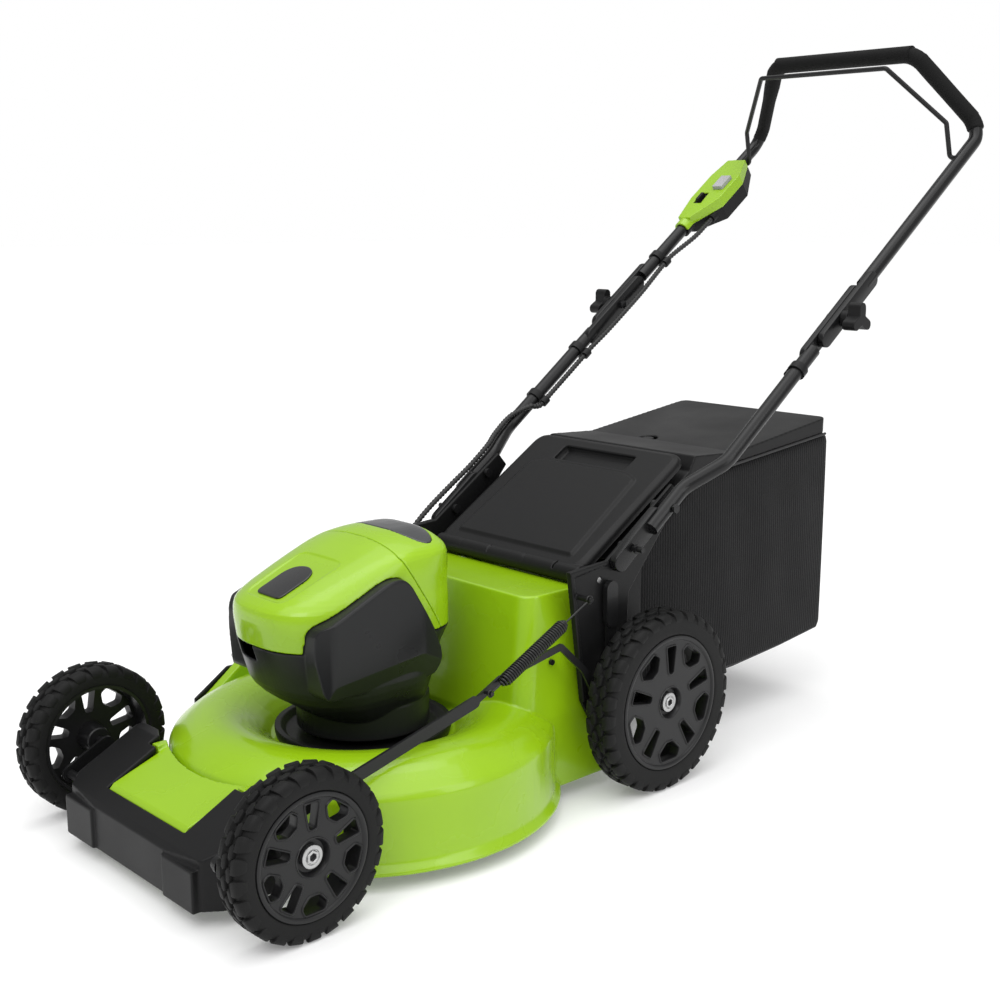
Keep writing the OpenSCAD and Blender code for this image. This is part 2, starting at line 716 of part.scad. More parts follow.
bag_profile = [
  [644, 138], [590, 316], [772, 424], [785, 446], [881, 441], [1122, 472],
  [1139, 112], [895, 92], [700, 98]];
bag_inside = [
  [600, 100], [560, 330], [600, 318], [774, 419], [788, 441.5], [881, 436], [1118, 467],
  [1134, 116.5], [895, 96.5], [700, 102.5]];

// The plastic front frame and top of the bag
module bag_frame() color(black) place() difference() {
  union() {
    difference() {
      plate_x(-bag_half_w, bag_half_w, bag_profile);
      plate_x(-bag_half_w + 4, bag_half_w - 4, bag_inside);
      // Only the top and the front are plastic
      plate_x(-200, 200, [[668, 60], [668, 330], [790, 416], [1150, 450], [1150, 60]]);
    }
  }
}

module bag_fabric() color(dark) place() difference() {
  intersection() {
    plate_x(-bag_half_w, bag_half_w, bag_profile);
    plate_x(-200, 200, [[668.4, 60], [668.4, 329.4], [790, 415.4], [1150, 449.4], [1150, 60]]);
  }
  plate_x(-bag_half_w + 3, bag_half_w - 3, bag_inside);
}

module bag_wire() color(steel) place() both_sides() {
  bar_x(0, bag_half_w - 8, [1126, 122], 2.5);
  swept([[bag_half_w - 8, 1126, 122], [bag_half_w - 8, 895, 102.5], [bag_half_w - 8, 720, 108]], 2.5, 8);
}

// ---------- height adjustment ----------

module crank(pivot, wheel, pin, x_out, x_pivot) place() {
  bar_x(-arm_x - arm_t, arm_x + arm_t, pivot, axle_r);
  both_sides() strap_x(arm_x, arm_x + arm_t, pivot, wheel, 11);
  both_sides() bar_x(arm_x, x_out, wheel, axle_r);
  strap_x(arm_x, arm_x + arm_t, pivot, pin, 10);
  bar_x(link_x - 3, arm_x + 1, pin, 4);
}

module front_axle() color(steel)
  crank(front_pivot, [0, front_r], front_pin, front_track / 2 - 6, 170);

module rear_axle() color(steel)
  crank(rear_pivot, [wheelbase, rear_r], rear_pin, rear_track / 2 - 6, 170);

module wheel_nuts(y, z, x_out) place() both_sides() {
  translate([x_out - 9.4, y, z]) rotate([0, 90, 0]) difference() {
    union() {
      cylinder(h = 2, r = 14);
      cylinder(h = 8, r = 9.5, $fn = 6);
    }
    translate([0, 0, -1]) cylinder(h = 12, r = axle_r + run_gap);
  }
}

module front_wheel_nuts() color(grey) wheel_nuts(0, front_r, front_track / 2);

module rear_wheel_nuts() color(grey) wheel_nuts(wheelbase, rear_r, rear_track / 2);

lever_tip = [560, 292];

module height_lever() color(dark) place() difference() {
  union() {
    strap_x(188.5, 192.5, rear_pivot, lever_tip, 9);
    strap_x(187, 195, lever_tip - [-1, 44], lever_tip, 11);
  }
  bar_x(180, 200, rear_pivot, axle_r + run_gap);
}

link_line = [[300, 192], [343, 212], [455, 232], [500, 190], [524, 148]];

module height_link() color(dark) place() difference() {
  union() {
    strap_x(link_x, link_x + link_t, front_pin, link_line[0], 8);
    for (i = [0 : 3]) strap_x(link_x, link_x + link_t, link_line[i], link_line[i + 1], 4.5);
    strap_x(link_x, link_x + link_t, link_line[4], rear_pin, 8);
    bar_x(link_x + 1, spring_x + 3, spring_foot, 3);
  }
  bar_x(180, 220, front_pin, 4 + run_gap);
  bar_x(180, 220, rear_pin, 4.5);
}

// Spring that helps to lift the mower, hooked on a stud at each end
module lift_spring() color(black) place() difference() {
  d = spring_head - spring_foot;
  union() {
    translate([spring_x, spring_foot[0], spring_foot[1]]) rotate([atan2(d[1], d[0]), 0, 0])
      rotate([-90, 0, 0]) {
        translate([0, 0, 4]) cylinder(h = norm(d) - 8, r = 1.5);
        translate([0, 0, 20]) cylinder(h = 130, r = 7);
      }
    bar_x(spring_x - 1.5, spring_x + 1.5, spring_foot, 5.5);
    bar_x(spring_x - 1.5, spring_x + 1.5, spring_head, 6.5);
  }
  bar_x(spring_x - 5, spring_x + 5, spring_foot, 3 + run_gap);
  bar_x(spring_x - 5, spring_x + 5, spring_head, 4 + run_gap);
}

// ---------- wheels ----------

// Tyre along X, its outer face at x = 0 and its inner face at x = -w
module tyre(r, w, r_in) rotate([0, 90, 0]) rotate_extrude($fn = 128) polygon([
  [r_in, -w], [r - 10, -w], [r - 3, -w + 4], [r, -w + 10], [r, -10], [r - 3, -4], [r - 10, 0], [r_in, 0]]);

// Rim along X with ten openings, five long and five short
module rim(r_in, w) difference() {
  rotate([0, 90, 0]) rotate_extrude($fn = 128) polygon([
    [axle_r + run_gap, -w + 2], [17, -w + 2], [19, -20], [r_in - 7, -14], [r_in - 5, -w + 2],
    [r_in - 0.1, -w + 2], [r_in - 0.1, -2], [r_in - 7, -1.5], [r_in - 10, -5], [24, -5], [18, -9.7],
    [axle_r + run_gap, -9.7]]);
  for (i = [0 : 4]) {
    rotate([72 * i, 0, 0]) rotate([90, 0, 90]) translate([0, 0, -25]) linear_extrude(30)
      polygon([[-6, r_in * 0.46], [6, r_in * 0.46], [11, r_in * 0.86], [-11, r_in * 0.86]]);
    rotate([72 * i + 36, 0, 0]) rotate([90, 0, 90]) translate([0, 0, -25]) linear_extrude(30)
      polygon([[-8, r_in * 0.58], [8, r_in * 0.58], [r_in * 0.2, r_in * 0.7],
        [r_in * 0.17, r_in * 0.87], [-r_in * 0.17, r_in * 0.87], [-r_in * 0.2, r_in * 0.7]]);
  }
}

module at_wheel(side, front) place()
  if (side > 0) translate([front ? front_track / 2 : rear_track / 2, front ? 0 : wheelbase, front ? front_r : rear_r])
    children();
  else mirror([1, 0, 0])
    translate([front ? front_track / 2 : rear_track / 2, front ? 0 : wheelbase, front ? front_r : rear_r]) children();

front_rim_r = front_r * 0.75;
rear_rim_r = rear_r * 0.75;

module front_left_tyre() color(black) at_wheel(1, true) tyre(front_r, front_wheel_w, front_rim_r);
module front_left_rim() color(dark) at_wheel(1, true) rim(front_rim_r, front_wheel_w);
module front_right_tyre() color(black) at_wheel(-1, true) tyre(front_r, front_wheel_w, front_rim_r);
module front_right_rim() color(dark) at_wheel(-1, true) rim(front_rim_r, front_wheel_w);
module rear_left_tyre() color(black) at_wheel(1, false) tyre(rear_r, rear_wheel_w, rear_rim_r);
module rear_left_rim() color(dark) at_wheel(1, false) rim(rear_rim_r, rear_wheel_w);
module rear_right_tyre() color(black) at_wheel(-1, false) tyre(rear_r, rear_wheel_w, rear_rim_r);
module rear_right_rim() color(dark) at_wheel(-1, false) rim(rear_rim_r, rear_wheel_w);

deck();
front_bumper();
front_panel();
motor_base();
motor_housing();
motor_cover();
motor_can();
motor_bearings();
controller_board();
battery_tray();
battery_pack();
left_handle_bracket();
right_handle_bracket();
left_lower_handle();
right_lower_handle();
bracket_bolts();
hinge_pins();
deck_screws();
handle_bolts();
lower_cable_clips();
control_cable();
lift_spring();
bag_frame();
bag_fabric();
bag_wire();
rotor_core();
motor_shaft();
blade_adapter();
blade();
blade_bolt();
battery_lid();
lid_window();
rear_flap();
side_door();
upper_handle();
foam_grip();
switch_box();
switch_box_back();
upper_cable_clip();
left_knob();
right_knob();
bail_lever();
start_button();
safety_key();
front_axle();
front_wheel_nuts();
rear_axle();
rear_wheel_nuts();
height_lever();
height_link();
front_left_tyre();
front_left_rim();
front_right_tyre();
front_right_rim();
rear_left_tyre();
rear_left_rim();
rear_right_tyre();
rear_right_rim();
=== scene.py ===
"""Looks of the push lawn mower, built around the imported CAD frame."""

import json
import math

import bmesh
import bpy
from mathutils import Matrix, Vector
from mathutils.bvhtree import BVHTree

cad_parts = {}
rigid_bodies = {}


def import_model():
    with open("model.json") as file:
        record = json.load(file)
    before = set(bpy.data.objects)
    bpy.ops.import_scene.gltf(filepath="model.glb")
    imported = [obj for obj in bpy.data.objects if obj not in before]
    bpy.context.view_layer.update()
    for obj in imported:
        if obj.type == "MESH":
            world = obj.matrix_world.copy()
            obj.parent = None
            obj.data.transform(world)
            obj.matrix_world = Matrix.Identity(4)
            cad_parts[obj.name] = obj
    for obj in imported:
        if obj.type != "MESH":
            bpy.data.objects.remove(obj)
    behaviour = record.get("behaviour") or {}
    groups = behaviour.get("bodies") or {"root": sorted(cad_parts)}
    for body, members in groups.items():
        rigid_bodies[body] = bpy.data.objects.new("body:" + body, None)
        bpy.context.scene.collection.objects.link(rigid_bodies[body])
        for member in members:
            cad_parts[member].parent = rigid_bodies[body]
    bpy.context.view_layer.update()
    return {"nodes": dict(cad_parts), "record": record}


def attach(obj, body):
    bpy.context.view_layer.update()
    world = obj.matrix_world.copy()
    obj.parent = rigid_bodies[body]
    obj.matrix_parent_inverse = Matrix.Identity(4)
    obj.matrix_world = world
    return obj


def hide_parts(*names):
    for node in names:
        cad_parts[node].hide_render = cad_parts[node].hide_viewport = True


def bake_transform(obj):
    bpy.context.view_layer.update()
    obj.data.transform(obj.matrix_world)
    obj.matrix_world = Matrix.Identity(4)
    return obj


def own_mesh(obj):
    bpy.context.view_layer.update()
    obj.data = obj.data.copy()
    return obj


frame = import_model()
NODES = frame["nodes"]
BODY = {n: b for b, ns in frame["record"]["behaviour"]["bodies"].items() for n in ns}
SLOT = {s["node"]: s["material_slot"] for s in frame["record"]["subparts"]}

# Machine measures in millimetres. Y counts from the front wheels' axis, and X to the left
CENTRE_Y = 664.5
FRONT_R = 101.5
REAR_R = 129.0
WHEELBASE = 618.0
BLADE_Y = 275.0
HANDLE_X = 228.0
TUBE_R = 11.0
FOLD = (1024.0, 641.5)


def at(x, y, z):
    """A point given in machine millimetres, in metres in the CAD frame."""
    return Vector((x, y - CENTRE_Y, z)) / 1000


# ---------------------------------------------------------------- materials


def new_material(name):
    m = bpy.data.materials.new(name)
    m.use_nodes = True
    tree = m.node_tree
    return m, tree.nodes, tree.links, tree.nodes["Principled BSDF"]


def noise(nodes, links, coord, scale, detail=4.0, rough=0.5):
    n = nodes.new("ShaderNodeTexNoise")
    n.inputs["Scale"].default_value = scale
    n.inputs["Detail"].default_value = detail
    n.inputs["Roughness"].default_value = rough
    links.new(coord, n.inputs["Vector"])
    return n


def ranged(nodes, links, value, low, high, start=0.3, end=0.7):
    r = nodes.new("ShaderNodeMapRange")
    r.inputs["From Min"].default_value = start
    r.inputs["From Max"].default_value = end
    r.inputs["To Min"].default_value = low
    r.inputs["To Max"].default_value = high
    links.new(value, r.inputs["Value"])
    return r.outputs["Result"]


def shade(colour, k):
    return (*[min(1.0, c * k) for c in colour[:3]], 1.0)


def finish_material(name, colour, rough, metal=0.0, coat=0.0, grain=900.0, bump=0.05, mottle=0.12,
                    spread=0.06, coat_rough=0.08, specular=0.5):
    """A surface with mottled colour, uneven gloss and a fine grain."""
    m, nodes, links, bsdf = new_material(name)
    coord = nodes.new("ShaderNodeTexCoord").outputs["Object"]
    large = noise(nodes, links, coord, 9.0)
    fine = noise(nodes, links, coord, grain, 3.0)
    mix = nodes.new("ShaderNodeMix")
    mix.data_type = "RGBA"
    mix.inputs["A"].default_value = shade(colour, 1 - mottle)
    mix.inputs["B"].default_value = shade(colour, 1 + mottle)
    links.new(ranged(nodes, links, large.outputs["Fac"], 0.0, 1.0), mix.inputs["Factor"])
    links.new(mix.outputs["Result"], bsdf.inputs["Base Color"])
    gloss = ranged(nodes, links, large.outputs["Fac"], rough - spread, rough + spread)
    links.new(gloss, bsdf.inputs["Roughness"])
    bsdf.inputs["Metallic"].default_value = metal
    bsdf.inputs["Specular IOR Level"].default_value = specular
    bsdf.inputs["Coat Weight"].default_value = coat
    bsdf.inputs["Coat Roughness"].default_value = coat_rough
    b = nodes.new("ShaderNodeBump")
    b.inputs["Strength"].default_value = bump
    b.inputs["Distance"].default_value = 0.0006
    links.new(fine.outputs["Fac"], b.inputs["Height"])
    links.new(b.outputs["Normal"], bsdf.inputs["Normal"])
    return m


def brushed_material(name, colour, rough):
    """Metal with fine stretched scratches."""
    m = finish_material(name, colour, rough, metal=1.0, bump=0.04, mottle=0.08)
    nodes, links = m.node_tree.nodes, m.node_tree.links
    coord = nodes.new("ShaderNodeTexCoord").outputs["Object"]
    stretch = nodes.new("ShaderNodeMapping")
    stretch.inputs["Scale"].default_value = (60.0, 2200.0, 2200.0)
    links.new(coord, stretch.inputs["Vector"])
    lines = noise(nodes, links, stretch.outputs["Vector"], 1.0, 2.0)
    b = next(n for n in nodes if n.type == "BUMP")
    links.new(lines.outputs["Fac"], b.inputs["Height"])
    b.inputs["Strength"].default_value = 0.12
    return m


RIB_SCALE = 260.0
BROAD_RIB_SCALE = 58.0


def weave_material(name, colour):
    """Woven mesh: two crossed sets of fine ribs over broad upright ones, with painted shade in the gaps and a
    painted highlight on the crossings.
    """
    m, nodes, links, bsdf = new_material(name)
    coord = nodes.new("ShaderNodeTexCoord").outputs["Object"]
    heights = []
    for direction in ("Z", "Y"):
        w = nodes.new("ShaderNodeTexWave")
        w.bands_direction = direction
        w.inputs["Scale"].default_value = RIB_SCALE
        w.inputs["Distortion"].default_value = 0.4
        w.inputs["Detail"].default_value = 1.0
        links.new(coord, w.inputs["Vector"])
        heights.append(w.outputs["Fac"])
    broad = nodes.new("ShaderNodeTexWave")
    broad.bands_direction = "Y"
    broad.inputs["Scale"].default_value = BROAD_RIB_SCALE
    broad.inputs["Distortion"].default_value = 0.3
    links.new(coord, broad.inputs["Vector"])
    total = nodes.new("ShaderNodeMath")
    total.operation = "MULTIPLY"
    links.new(heights[0], total.inputs[0])
    links.new(heights[1], total.inputs[1])
    cloudy = noise(nodes, links, coord, 14.0)
    # Painted shade and highlight: the gaps between the ribs are darkened and their crossings lightened, over
    # cloudy uneven tone
    mix = nodes.new("ShaderNodeMix")
    mix.data_type = "RGBA"
    mix.inputs["A"].default_value = shade(colour, 0.55)
    mix.inputs["B"].default_value = shade(colour, 1.5)
    relief_shade_and_tone = nodes.new("ShaderNodeMath")
    relief_shade_and_tone.operation = "MULTIPLY_ADD"
    relief_shade_and_tone.inputs[1].default_value = 0.6
    links.new(total.outputs["Value"], relief_shade_and_tone.inputs[0])
    links.new(ranged(nodes, links, cloudy.outputs["Fac"], 0.0, 0.4), relief_shade_and_tone.inputs[2])
    links.new(relief_shade_and_tone.outputs["Value"], mix.inputs["Factor"])
    links.new(mix.outputs["Result"], bsdf.inputs["Base Color"])
    bsdf.inputs["Roughness"].default_value = 0.82
    bsdf.inputs["Sheen Weight"].default_value = 0.06
    bsdf.inputs["Specular IOR Level"].default_value = 0.15
    lift = nodes.new("ShaderNodeMath")
    lift.operation = "MULTIPLY_ADD"
    lift.inputs[1].default_value = 2.2
    links.new(broad.outputs["Fac"], lift.inputs[0])
    links.new(total.outputs["Value"], lift.inputs[2])
    b = nodes.new("ShaderNodeBump")
    b.inputs["Strength"].default_value = 0.45
    b.inputs["Distance"].default_value = 0.0009
    links.new(lift.outputs["Value"], b.inputs["Height"])
    links.new(b.outputs["Normal"], bsdf.inputs["Normal"])
    return m


GREEN = (0.262, 0.462, 0.005)
MAT = {
    "green_plastic": finish_material("green_plastic", GREEN, 0.27, coat=0.35, grain=600.0, bump=0.012,
                                     mottle=0.03, specular=0.35),
    "black_plastic": finish_material("black_plastic", (0.0065, 0.0065, 0.0068), 0.42, bump=0.12,
                                     grain=1600.0, specular=0.2),
    "dark_plastic": finish_material("dark_plastic", (0.011, 0.0113, 0.012), 0.32, bump=0.05, grain=1600.0,
                                    specular=0.24),
    "tube_paint": finish_material("tube_paint", (0.006, 0.006, 0.0064), 0.3, coat=0.08, bump=0.08,
                                  grain=1800.0, specular=0.25),
    "foam": finish_material("foam", (0.007, 0.007, 0.007), 0.72, bump=0.5, grain=1300.0, specular=0.15),
    "bag_mesh": weave_material("bag_mesh", (0.0085, 0.0085, 0.009)),
    "tyre": finish_material("tyre", (0.0075, 0.0075, 0.0075), 0.6, bump=0.2, grain=1100.0, mottle=0.2,
                            specular=0.18),
    "rim_plastic": finish_material("rim_plastic", (0.009, 0.009, 0.0095), 0.36, bump=0.07, grain=1500.0,
                                   specular=0.3),
    "steel": brushed_material("steel", (0.46, 0.46, 0.46), 0.38),
    "black_steel": finish_material("black_steel", (0.008, 0.008, 0.0085), 0.36, coat=0.1, bump=0.1,
                                   grain=1500.0, specular=0.25),
    "motor_metal": brushed_material("motor_metal", (0.66, 0.67, 0.68), 0.36),
    "copper": brushed_material("copper", (0.60, 0.27, 0.12), 0.35),
    "blade_steel": brushed_material("blade_steel", (0.40, 0.40, 0.41), 0.38),
    "grey_plastic": finish_material("grey_plastic", (0.33, 0.33, 0.34), 0.42, bump=0.08, grain=1500.0),
    "board": finish_material("board", (0.02, 0.16, 0.07), 0.35, bump=0.2, grain=700.0, mottle=0.3),
    "cable_sleeve": finish_material("cable_sleeve", (0.012, 0.012, 0.012), 0.5, bump=0.1, grain=1200.0),
    "black_spring": finish_material("black_spring", (0.010, 0.010, 0.010), 0.36, metal=0.2, bump=0.06,
                                    grain=1200.0),
    "window": finish_material("window", (0.030, 0.032, 0.035), 0.2, coat=0.3, bump=0.01, mottle=0.1),
    "plate": finish_material("plate", (0.009, 0.009, 0.010), 0.3, coat=0.2, bump=0.02, mottle=0.1),
    "bag_binding": finish_material("bag_binding", (0.014, 0.014, 0.015), 0.6, bump=0.3, grain=900.0),
    "floor": finish_material("floor", (0.80, 0.80, 0.80), 0.7, bump=0.02, grain=300.0, mottle=0.015,
                             specular=0.1),
}
glow = MAT["floor"].node_tree.nodes["Principled BSDF"]
glow.inputs["Emission Color"].default_value = (1.0, 1.0, 1.0, 1.0)
glow.inputs["Emission Strength"].default_value = 0.17

# ---------------------------------------------------------------- mesh tools


def link(name, mesh, mat, body):
    o = bpy.data.objects.new(name, mesh)
    bpy.context.scene.collection.objects.link(o)
    if mat is not None:
        o.data.materials.clear()
        o.data.materials.append(MAT[mat])
    if body:
        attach(o, body)
    return o


def from_bmesh(bm, name):
    me = bpy.data.meshes.new(name)
    bm.normal_update()
    bm.to_mesh(me)
    bm.free()
    return me


def smooth(o, angle=35.0):
    for p in o.data.polygons:
        p.use_smooth = True
    o.data.set_sharp_from_angle(angle=math.radians(angle))
    return o


def modifier(o, kind, **values):
    m = o.modifiers.new(kind.lower(), kind)
    for k, v in values.items():
        setattr(m, k, v)
    return m


def baked(o):
    """Turns an object's modifiers into its mesh."""
    bpy.context.view_layer.update()
    dg = bpy.context.evaluated_depsgraph_get()
    me = bpy.data.meshes.new_from_object(o.evaluated_get(dg))
    o.modifiers.clear()
    o.data = me
    return o


def show_as(o, node, mat=None):
    """o stands for a CAD node: it rides with its body and takes its slot."""
    if o.parent is None:
        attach(o, BODY[node])
    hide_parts(node)
    o.data.materials.clear()
    o.data.materials.append(MAT[mat or SLOT[node]])
    return o


def settled(o, source, near=0.10, far=0.34):
    """Puts points that lie close to the source surface exactly on it, so that flat faces stay flat."""
    tree = BVHTree.FromPolygons([v.co for v in source.vertices], [p.vertices for p in source.polygons])
    for v in o.data.vertices:
        found = tree.find_nearest(v.co, far / 1000)
        if found[0] is not None:
            w = min(1.0, max(0.0, (far - found[3] * 1000) / (far - near)))
            v.co = v.co.lerp(found[0], w)


def cut(o, cutter, how="DIFFERENCE"):
    """Boolean of o with a closed mesh."""
    tool = bpy.data.objects.new("tool", from_bmesh(cutter, "tool"))
    bpy.context.scene.collection.objects.link(tool)
    modifier(o, "BOOLEAN", operation=how, object=tool, solver="EXACT")
    baked(o)
    bpy.data.objects.remove(tool)


def softened_mesh(o, voxel, passes, settle=True):
    """Rounds an object's edges as a moulding's are."""
    source = o.data.copy()
    modifier(o, "REMESH", mode="VOXEL", voxel_size=voxel / 1000, use_smooth_shade=True)
    modifier(o, "SMOOTH", factor=0.5, iterations=passes)
    baked(o)
    if settle:
        settled(o, source)
    for p in o.data.polygons:
        p.use_smooth = True
    return o


def moulded(node, voxel=1.5, passes=4, mat=None, settle=True, cuts=(), keeps=()):
    """A copy of a CAD node whose edges are rounded like a moulding's."""
    me = NODES[node].data.copy()
    o = bpy.data.objects.new(node + "_shape", me)
    bpy.context.scene.collection.objects.link(o)
    bm = bmesh.new()
    bm.from_mesh(me)
    bmesh.ops.remove_doubles(bm, verts=bm.verts, dist=0.00002)
    bm.to_mesh(me)
    bm.free()
    for c in keeps:
        cut(o, c, "INTERSECT")
    for c in cuts:
        cut(o, c)
    softened_mesh(o, voxel, passes, settle)
    return show_as(o, node, mat)


def catmull(points, steps):
    """A smooth path through points."""
    pts = [Vector(p) for p in points]
    pts = [pts[0] * 2 - pts[1]] + pts + [pts[-1] * 2 - pts[-2]]
    out = []
    for i in range(1, len(pts) - 2):
        a, b, c, d = pts[i - 1], pts[i], pts[i + 1], pts[i + 2]
        for k in range(steps):
            t = k / steps
            out.append(0.5 * ((2 * b) + (c - a) * t + (2 * a - 5 * b + 4 * c - d) * t * t
                              + (3 * b - a - 3 * c + d) * t ** 3))
    out.append(pts[-2])
    return out


def rounded(points, radius, steps):
    """A path whose inner corners are rounded."""
    pts = [Vector(p) for p in points]
    out = [pts[0]]
    for a, b, c in zip(pts, pts[1:], pts[2:]):
        u, w = (a - b).normalized(), (c - b).normalized()
        half = u.angle(w) / 2
        reach = radius / math.tan(half)
        centre = b + (u + w).normalized() * radius / math.sin(half)
        p, q = b + u * reach - centre, b + w * reach - centre
        turn = math.pi - 2 * half
        for i in range(steps + 1):
            t = i / steps
            out.append(centre + (p * math.sin(turn * (1 - t)) + q * math.sin(turn * t)) / math.sin(turn))
    out.append(pts[-1])
    return out


def swept(path, radius, sides):
    """Mesh of a round bar along a path. radius is a number or a function of the arc length."""
    bm = bmesh.new()
    path = [Vector(p) for p in path]
    side = Vector((0.31, 0.52, 0.8))
    rings, run = [], 0.0
    for i, p in enumerate(path):
        t = (path[min(i + 1, len(path) - 1)] - path[max(i - 1, 0)]).normalized()
        side = (side - t * side.dot(t)).normalized()
        across = t.cross(side)
        if i:
            run += (p - path[i - 1]).length
        r = radius(run) if callable(radius) else radius
        rings.append([bm.verts.new(p + (side * math.cos(a) + across * math.sin(a)) * r)
                      for a in (2 * math.pi * k / sides for k in range(sides))])
    for a, b in zip(rings, rings[1:]):
        for k in range(sides):
            j = (k + 1) % sides
            bm.faces.new((a[k], a[j], b[j], b[k]))
    bm.faces.new(rings[0][::-1])
    bm.faces.new(rings[-1])
    return bm


def surface(rings, caps=(False, False)):
    """Mesh through rings of points that all have the same number of points."""
    bm = bmesh.new()
    rows = [[bm.verts.new(p) for p in ring] for ring in rings]
    for a, b in zip(rows, rows[1:]):
        n = len(a)
        for k in range(n):
            j = (k + 1) % n
            bm.faces.new((a[k], a[j], b[j], b[k]))
    if caps[0]:
        bm.faces.new(rows[0][::-1])
    if caps[1]:
        bm.faces.new(rows[-1])
    bmesh.ops.recalc_face_normals(bm, faces=bm.faces)
    return bm


def merged(parts):
    """Several meshes as one."""
    out = bmesh.new()
    for bm in parts:
        me = from_bmesh(bm, "part")
        out.from_mesh(me)
        bpy.data.meshes.remove(me)
    return out


def revolved(profile, place, steps=96, closed=True):
    """A profile of (along, radius) pairs turned round. place maps along, angle and radius to a point."""
    if closed:
        profile = list(profile) + [profile[0]]
    rings = [[place(x, 2 * math.pi * k / steps, r) for k in range(steps)] for x, r in profile]
    bm = surface(rings)
    if closed:
        bmesh.ops.remove_doubles(bm, verts=bm.verts, dist=0.000002)
    return bm


def area(points):
    """Signed area of an outline."""
    return sum(a[0] * b[1] - b[0] * a[1] for a, b in zip(points, points[1:] + points[:1])) / 2


def softened(points, r, steps=5):
    """An outline with its corners rounded, turned anticlockwise."""
    pts = [Vector(p) for p in points]
    if area([tuple(p) for p in pts]) < 0:
        pts.reverse()
    out = []
    for i, b in enumerate(pts):
        a, c = pts[i - 1], pts[(i + 1) % len(pts)]
        p = b + (a - b).normalized() * min(r, (a - b).length * 0.45)
        q = b + (c - b).normalized() * min(r, (c - b).length * 0.45)
        out += [p.lerp(b, t).lerp(b.lerp(q, t), t) for t in (k / steps for k in range(steps + 1))]
    return out


def offset(points, d):
    """An anticlockwise outline moved outwards by d."""
    out = []
    for i, b in enumerate(points):
        a, c = points[i - 1], points[(i + 1) % len(points)]
        u, w = (b - a).normalized(), (c - b).normalized()
        nu, nw = Vector((u.y, -u.x)), Vector((w.y, -w.x))
        out.append(b + (nu + nw) * d / max(1 + nu.dot(nw), 0.5))
    return out


def prism(outline, steps, place):
    """Closed block: steps are (outward offset, height) pairs; place maps u, v and height to a point."""
    return surface([[place(p.x, p.y, h) for p in offset(outline, d)] for d, h in steps], caps=(True, True))


def round_steps(h0, h1, r, n=3):
    """Steps of a prism whose two edges are rounded."""
    turn = [math.pi / 2 * k / n for k in range(n + 1)]
    return ([(-r * (1 - math.sin(a)), h0 + r * (1 - math.cos(a))) for a in turn]
            + [(-r * (1 - math.cos(a)), h1 - r * (1 - math.sin(a))) for a in turn])


def side_place(u, v, h):
    """Outline in Y and Z, height along X."""
    return at(h, u, v)


def mirror(bm):
    """The same mesh on the other side of the machine."""
    other = bm.copy()
    for v in other.verts:
        v.co.x = -v.co.x
    bmesh.ops.reverse_faces(other, faces=other.faces)
    return other


def piece(name, bm, node=None, mat=None, body=None, angle=35.0):
    """An object made of a finished mesh."""
    o = link(name, from_bmesh(bm, name), None, None)
    smooth(o, angle)
    if node:
        return show_as(o, node, mat)
    o.data.materials.append(MAT[mat])
    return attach(o, body)


# ---------------------------------------------------------------- wheels

FRONT_TRACK = 534.0
REAR_TRACK = 512.0


def ccw(points):
    pts = [Vector(p) for p in points]
    return pts if area([tuple(p) for p in pts]) > 0 else pts[::-1]


def wheel_place(side, track, y, z):
    """Place function of a wheel: distance in from its outer face, angle, radius."""
    return lambda x, a, r: at(side * (track / 2 - x), y + r * math.sin(a), z + r * math.cos(a))


def tread_block(place, r, outline, turn, floor, top):
    """A tread block whose outline is in arc length and width."""
    steps = [(0.5, floor), (0.0, top - 1.3), (-0.5, top - 0.3), (-1.2, top)]
    return prism(ccw(outline), steps, lambda u, v, h: place(v, turn + u / r, h))


def shoulder_lug(place, r, w, turn, half, flip, reach):
    """A lug that wraps from the tread over the shoulder."""
    rows = [(13.0, 0.0, 0.9), (8.0, 0.0, 1.0), (4.0, 1.2, 1.0), (1.2, 4.0, 0.95), (-0.1, 8.0, 0.85),
            (0.3, reach, 0.6)]
    rings = []
    for x, drop, wide in rows:
        h = half * wide
        lean = -2.2 * (x - 5) / 8
        inner, down = x + 3.0, drop + 4.6
        ring = [(inner, -h - 0.8, down), (x, -h, drop + 0.5), (x, -h + 1.0, drop), (x, h - 1.0, drop),
                (x, h, drop + 0.5), (inner, h + 0.8, down)]
        rings.append([place(w - px if flip else px, turn + (u + lean) / r, r - d) for px, u, d in ring])
    return surface(rings, caps=(True, True))


def tyre_mesh(place, r, w, r_in, count):
    floor = r - 4.2
    carcass = [
        (2.6, r_in - 0.4), (1.0, r_in + 0.8), (0.4, r_in + 2.5), (0.5, r_in + 6.0), (0.2, r - 15.0),
        (0.9, r - 10.0), (3.2, r - 6.6), (7.5, floor - 0.4), (12.0, floor)]
    profile = carcass + [(w - x, q) for x, q in reversed(carcass)]
    parts = [revolved(profile, place, 128)]
    pitch = 2 * math.pi / count
    arc = pitch * r
    for k in range(count):
        turn = k * pitch
        hexagon = [(-0.36 * arc, 17.0), (-0.20 * arc, 13.2), (0.24 * arc, 13.6), (0.37 * arc, 17.6),
                   (0.20 * arc, w / 2 - 0.8), (-0.24 * arc, w / 2 - 1.4)]
        parts.append(tread_block(place, r, hexagon, turn, floor - 0.8, r))
        other = [(-u, w - v) for u, v in hexagon]
        parts.append(tread_block(place, r, other, turn + pitch / 2, floor - 0.8, r))
        for flip in (False, True):
            shift = pitch / 2 if flip else 0.0
            parts.append(shoulder_lug(place, r, w, turn + pitch * 0.5 + shift, arc * 0.36, flip,
                                      12.5 if k % 2 else 15.0))
    return merged(parts)


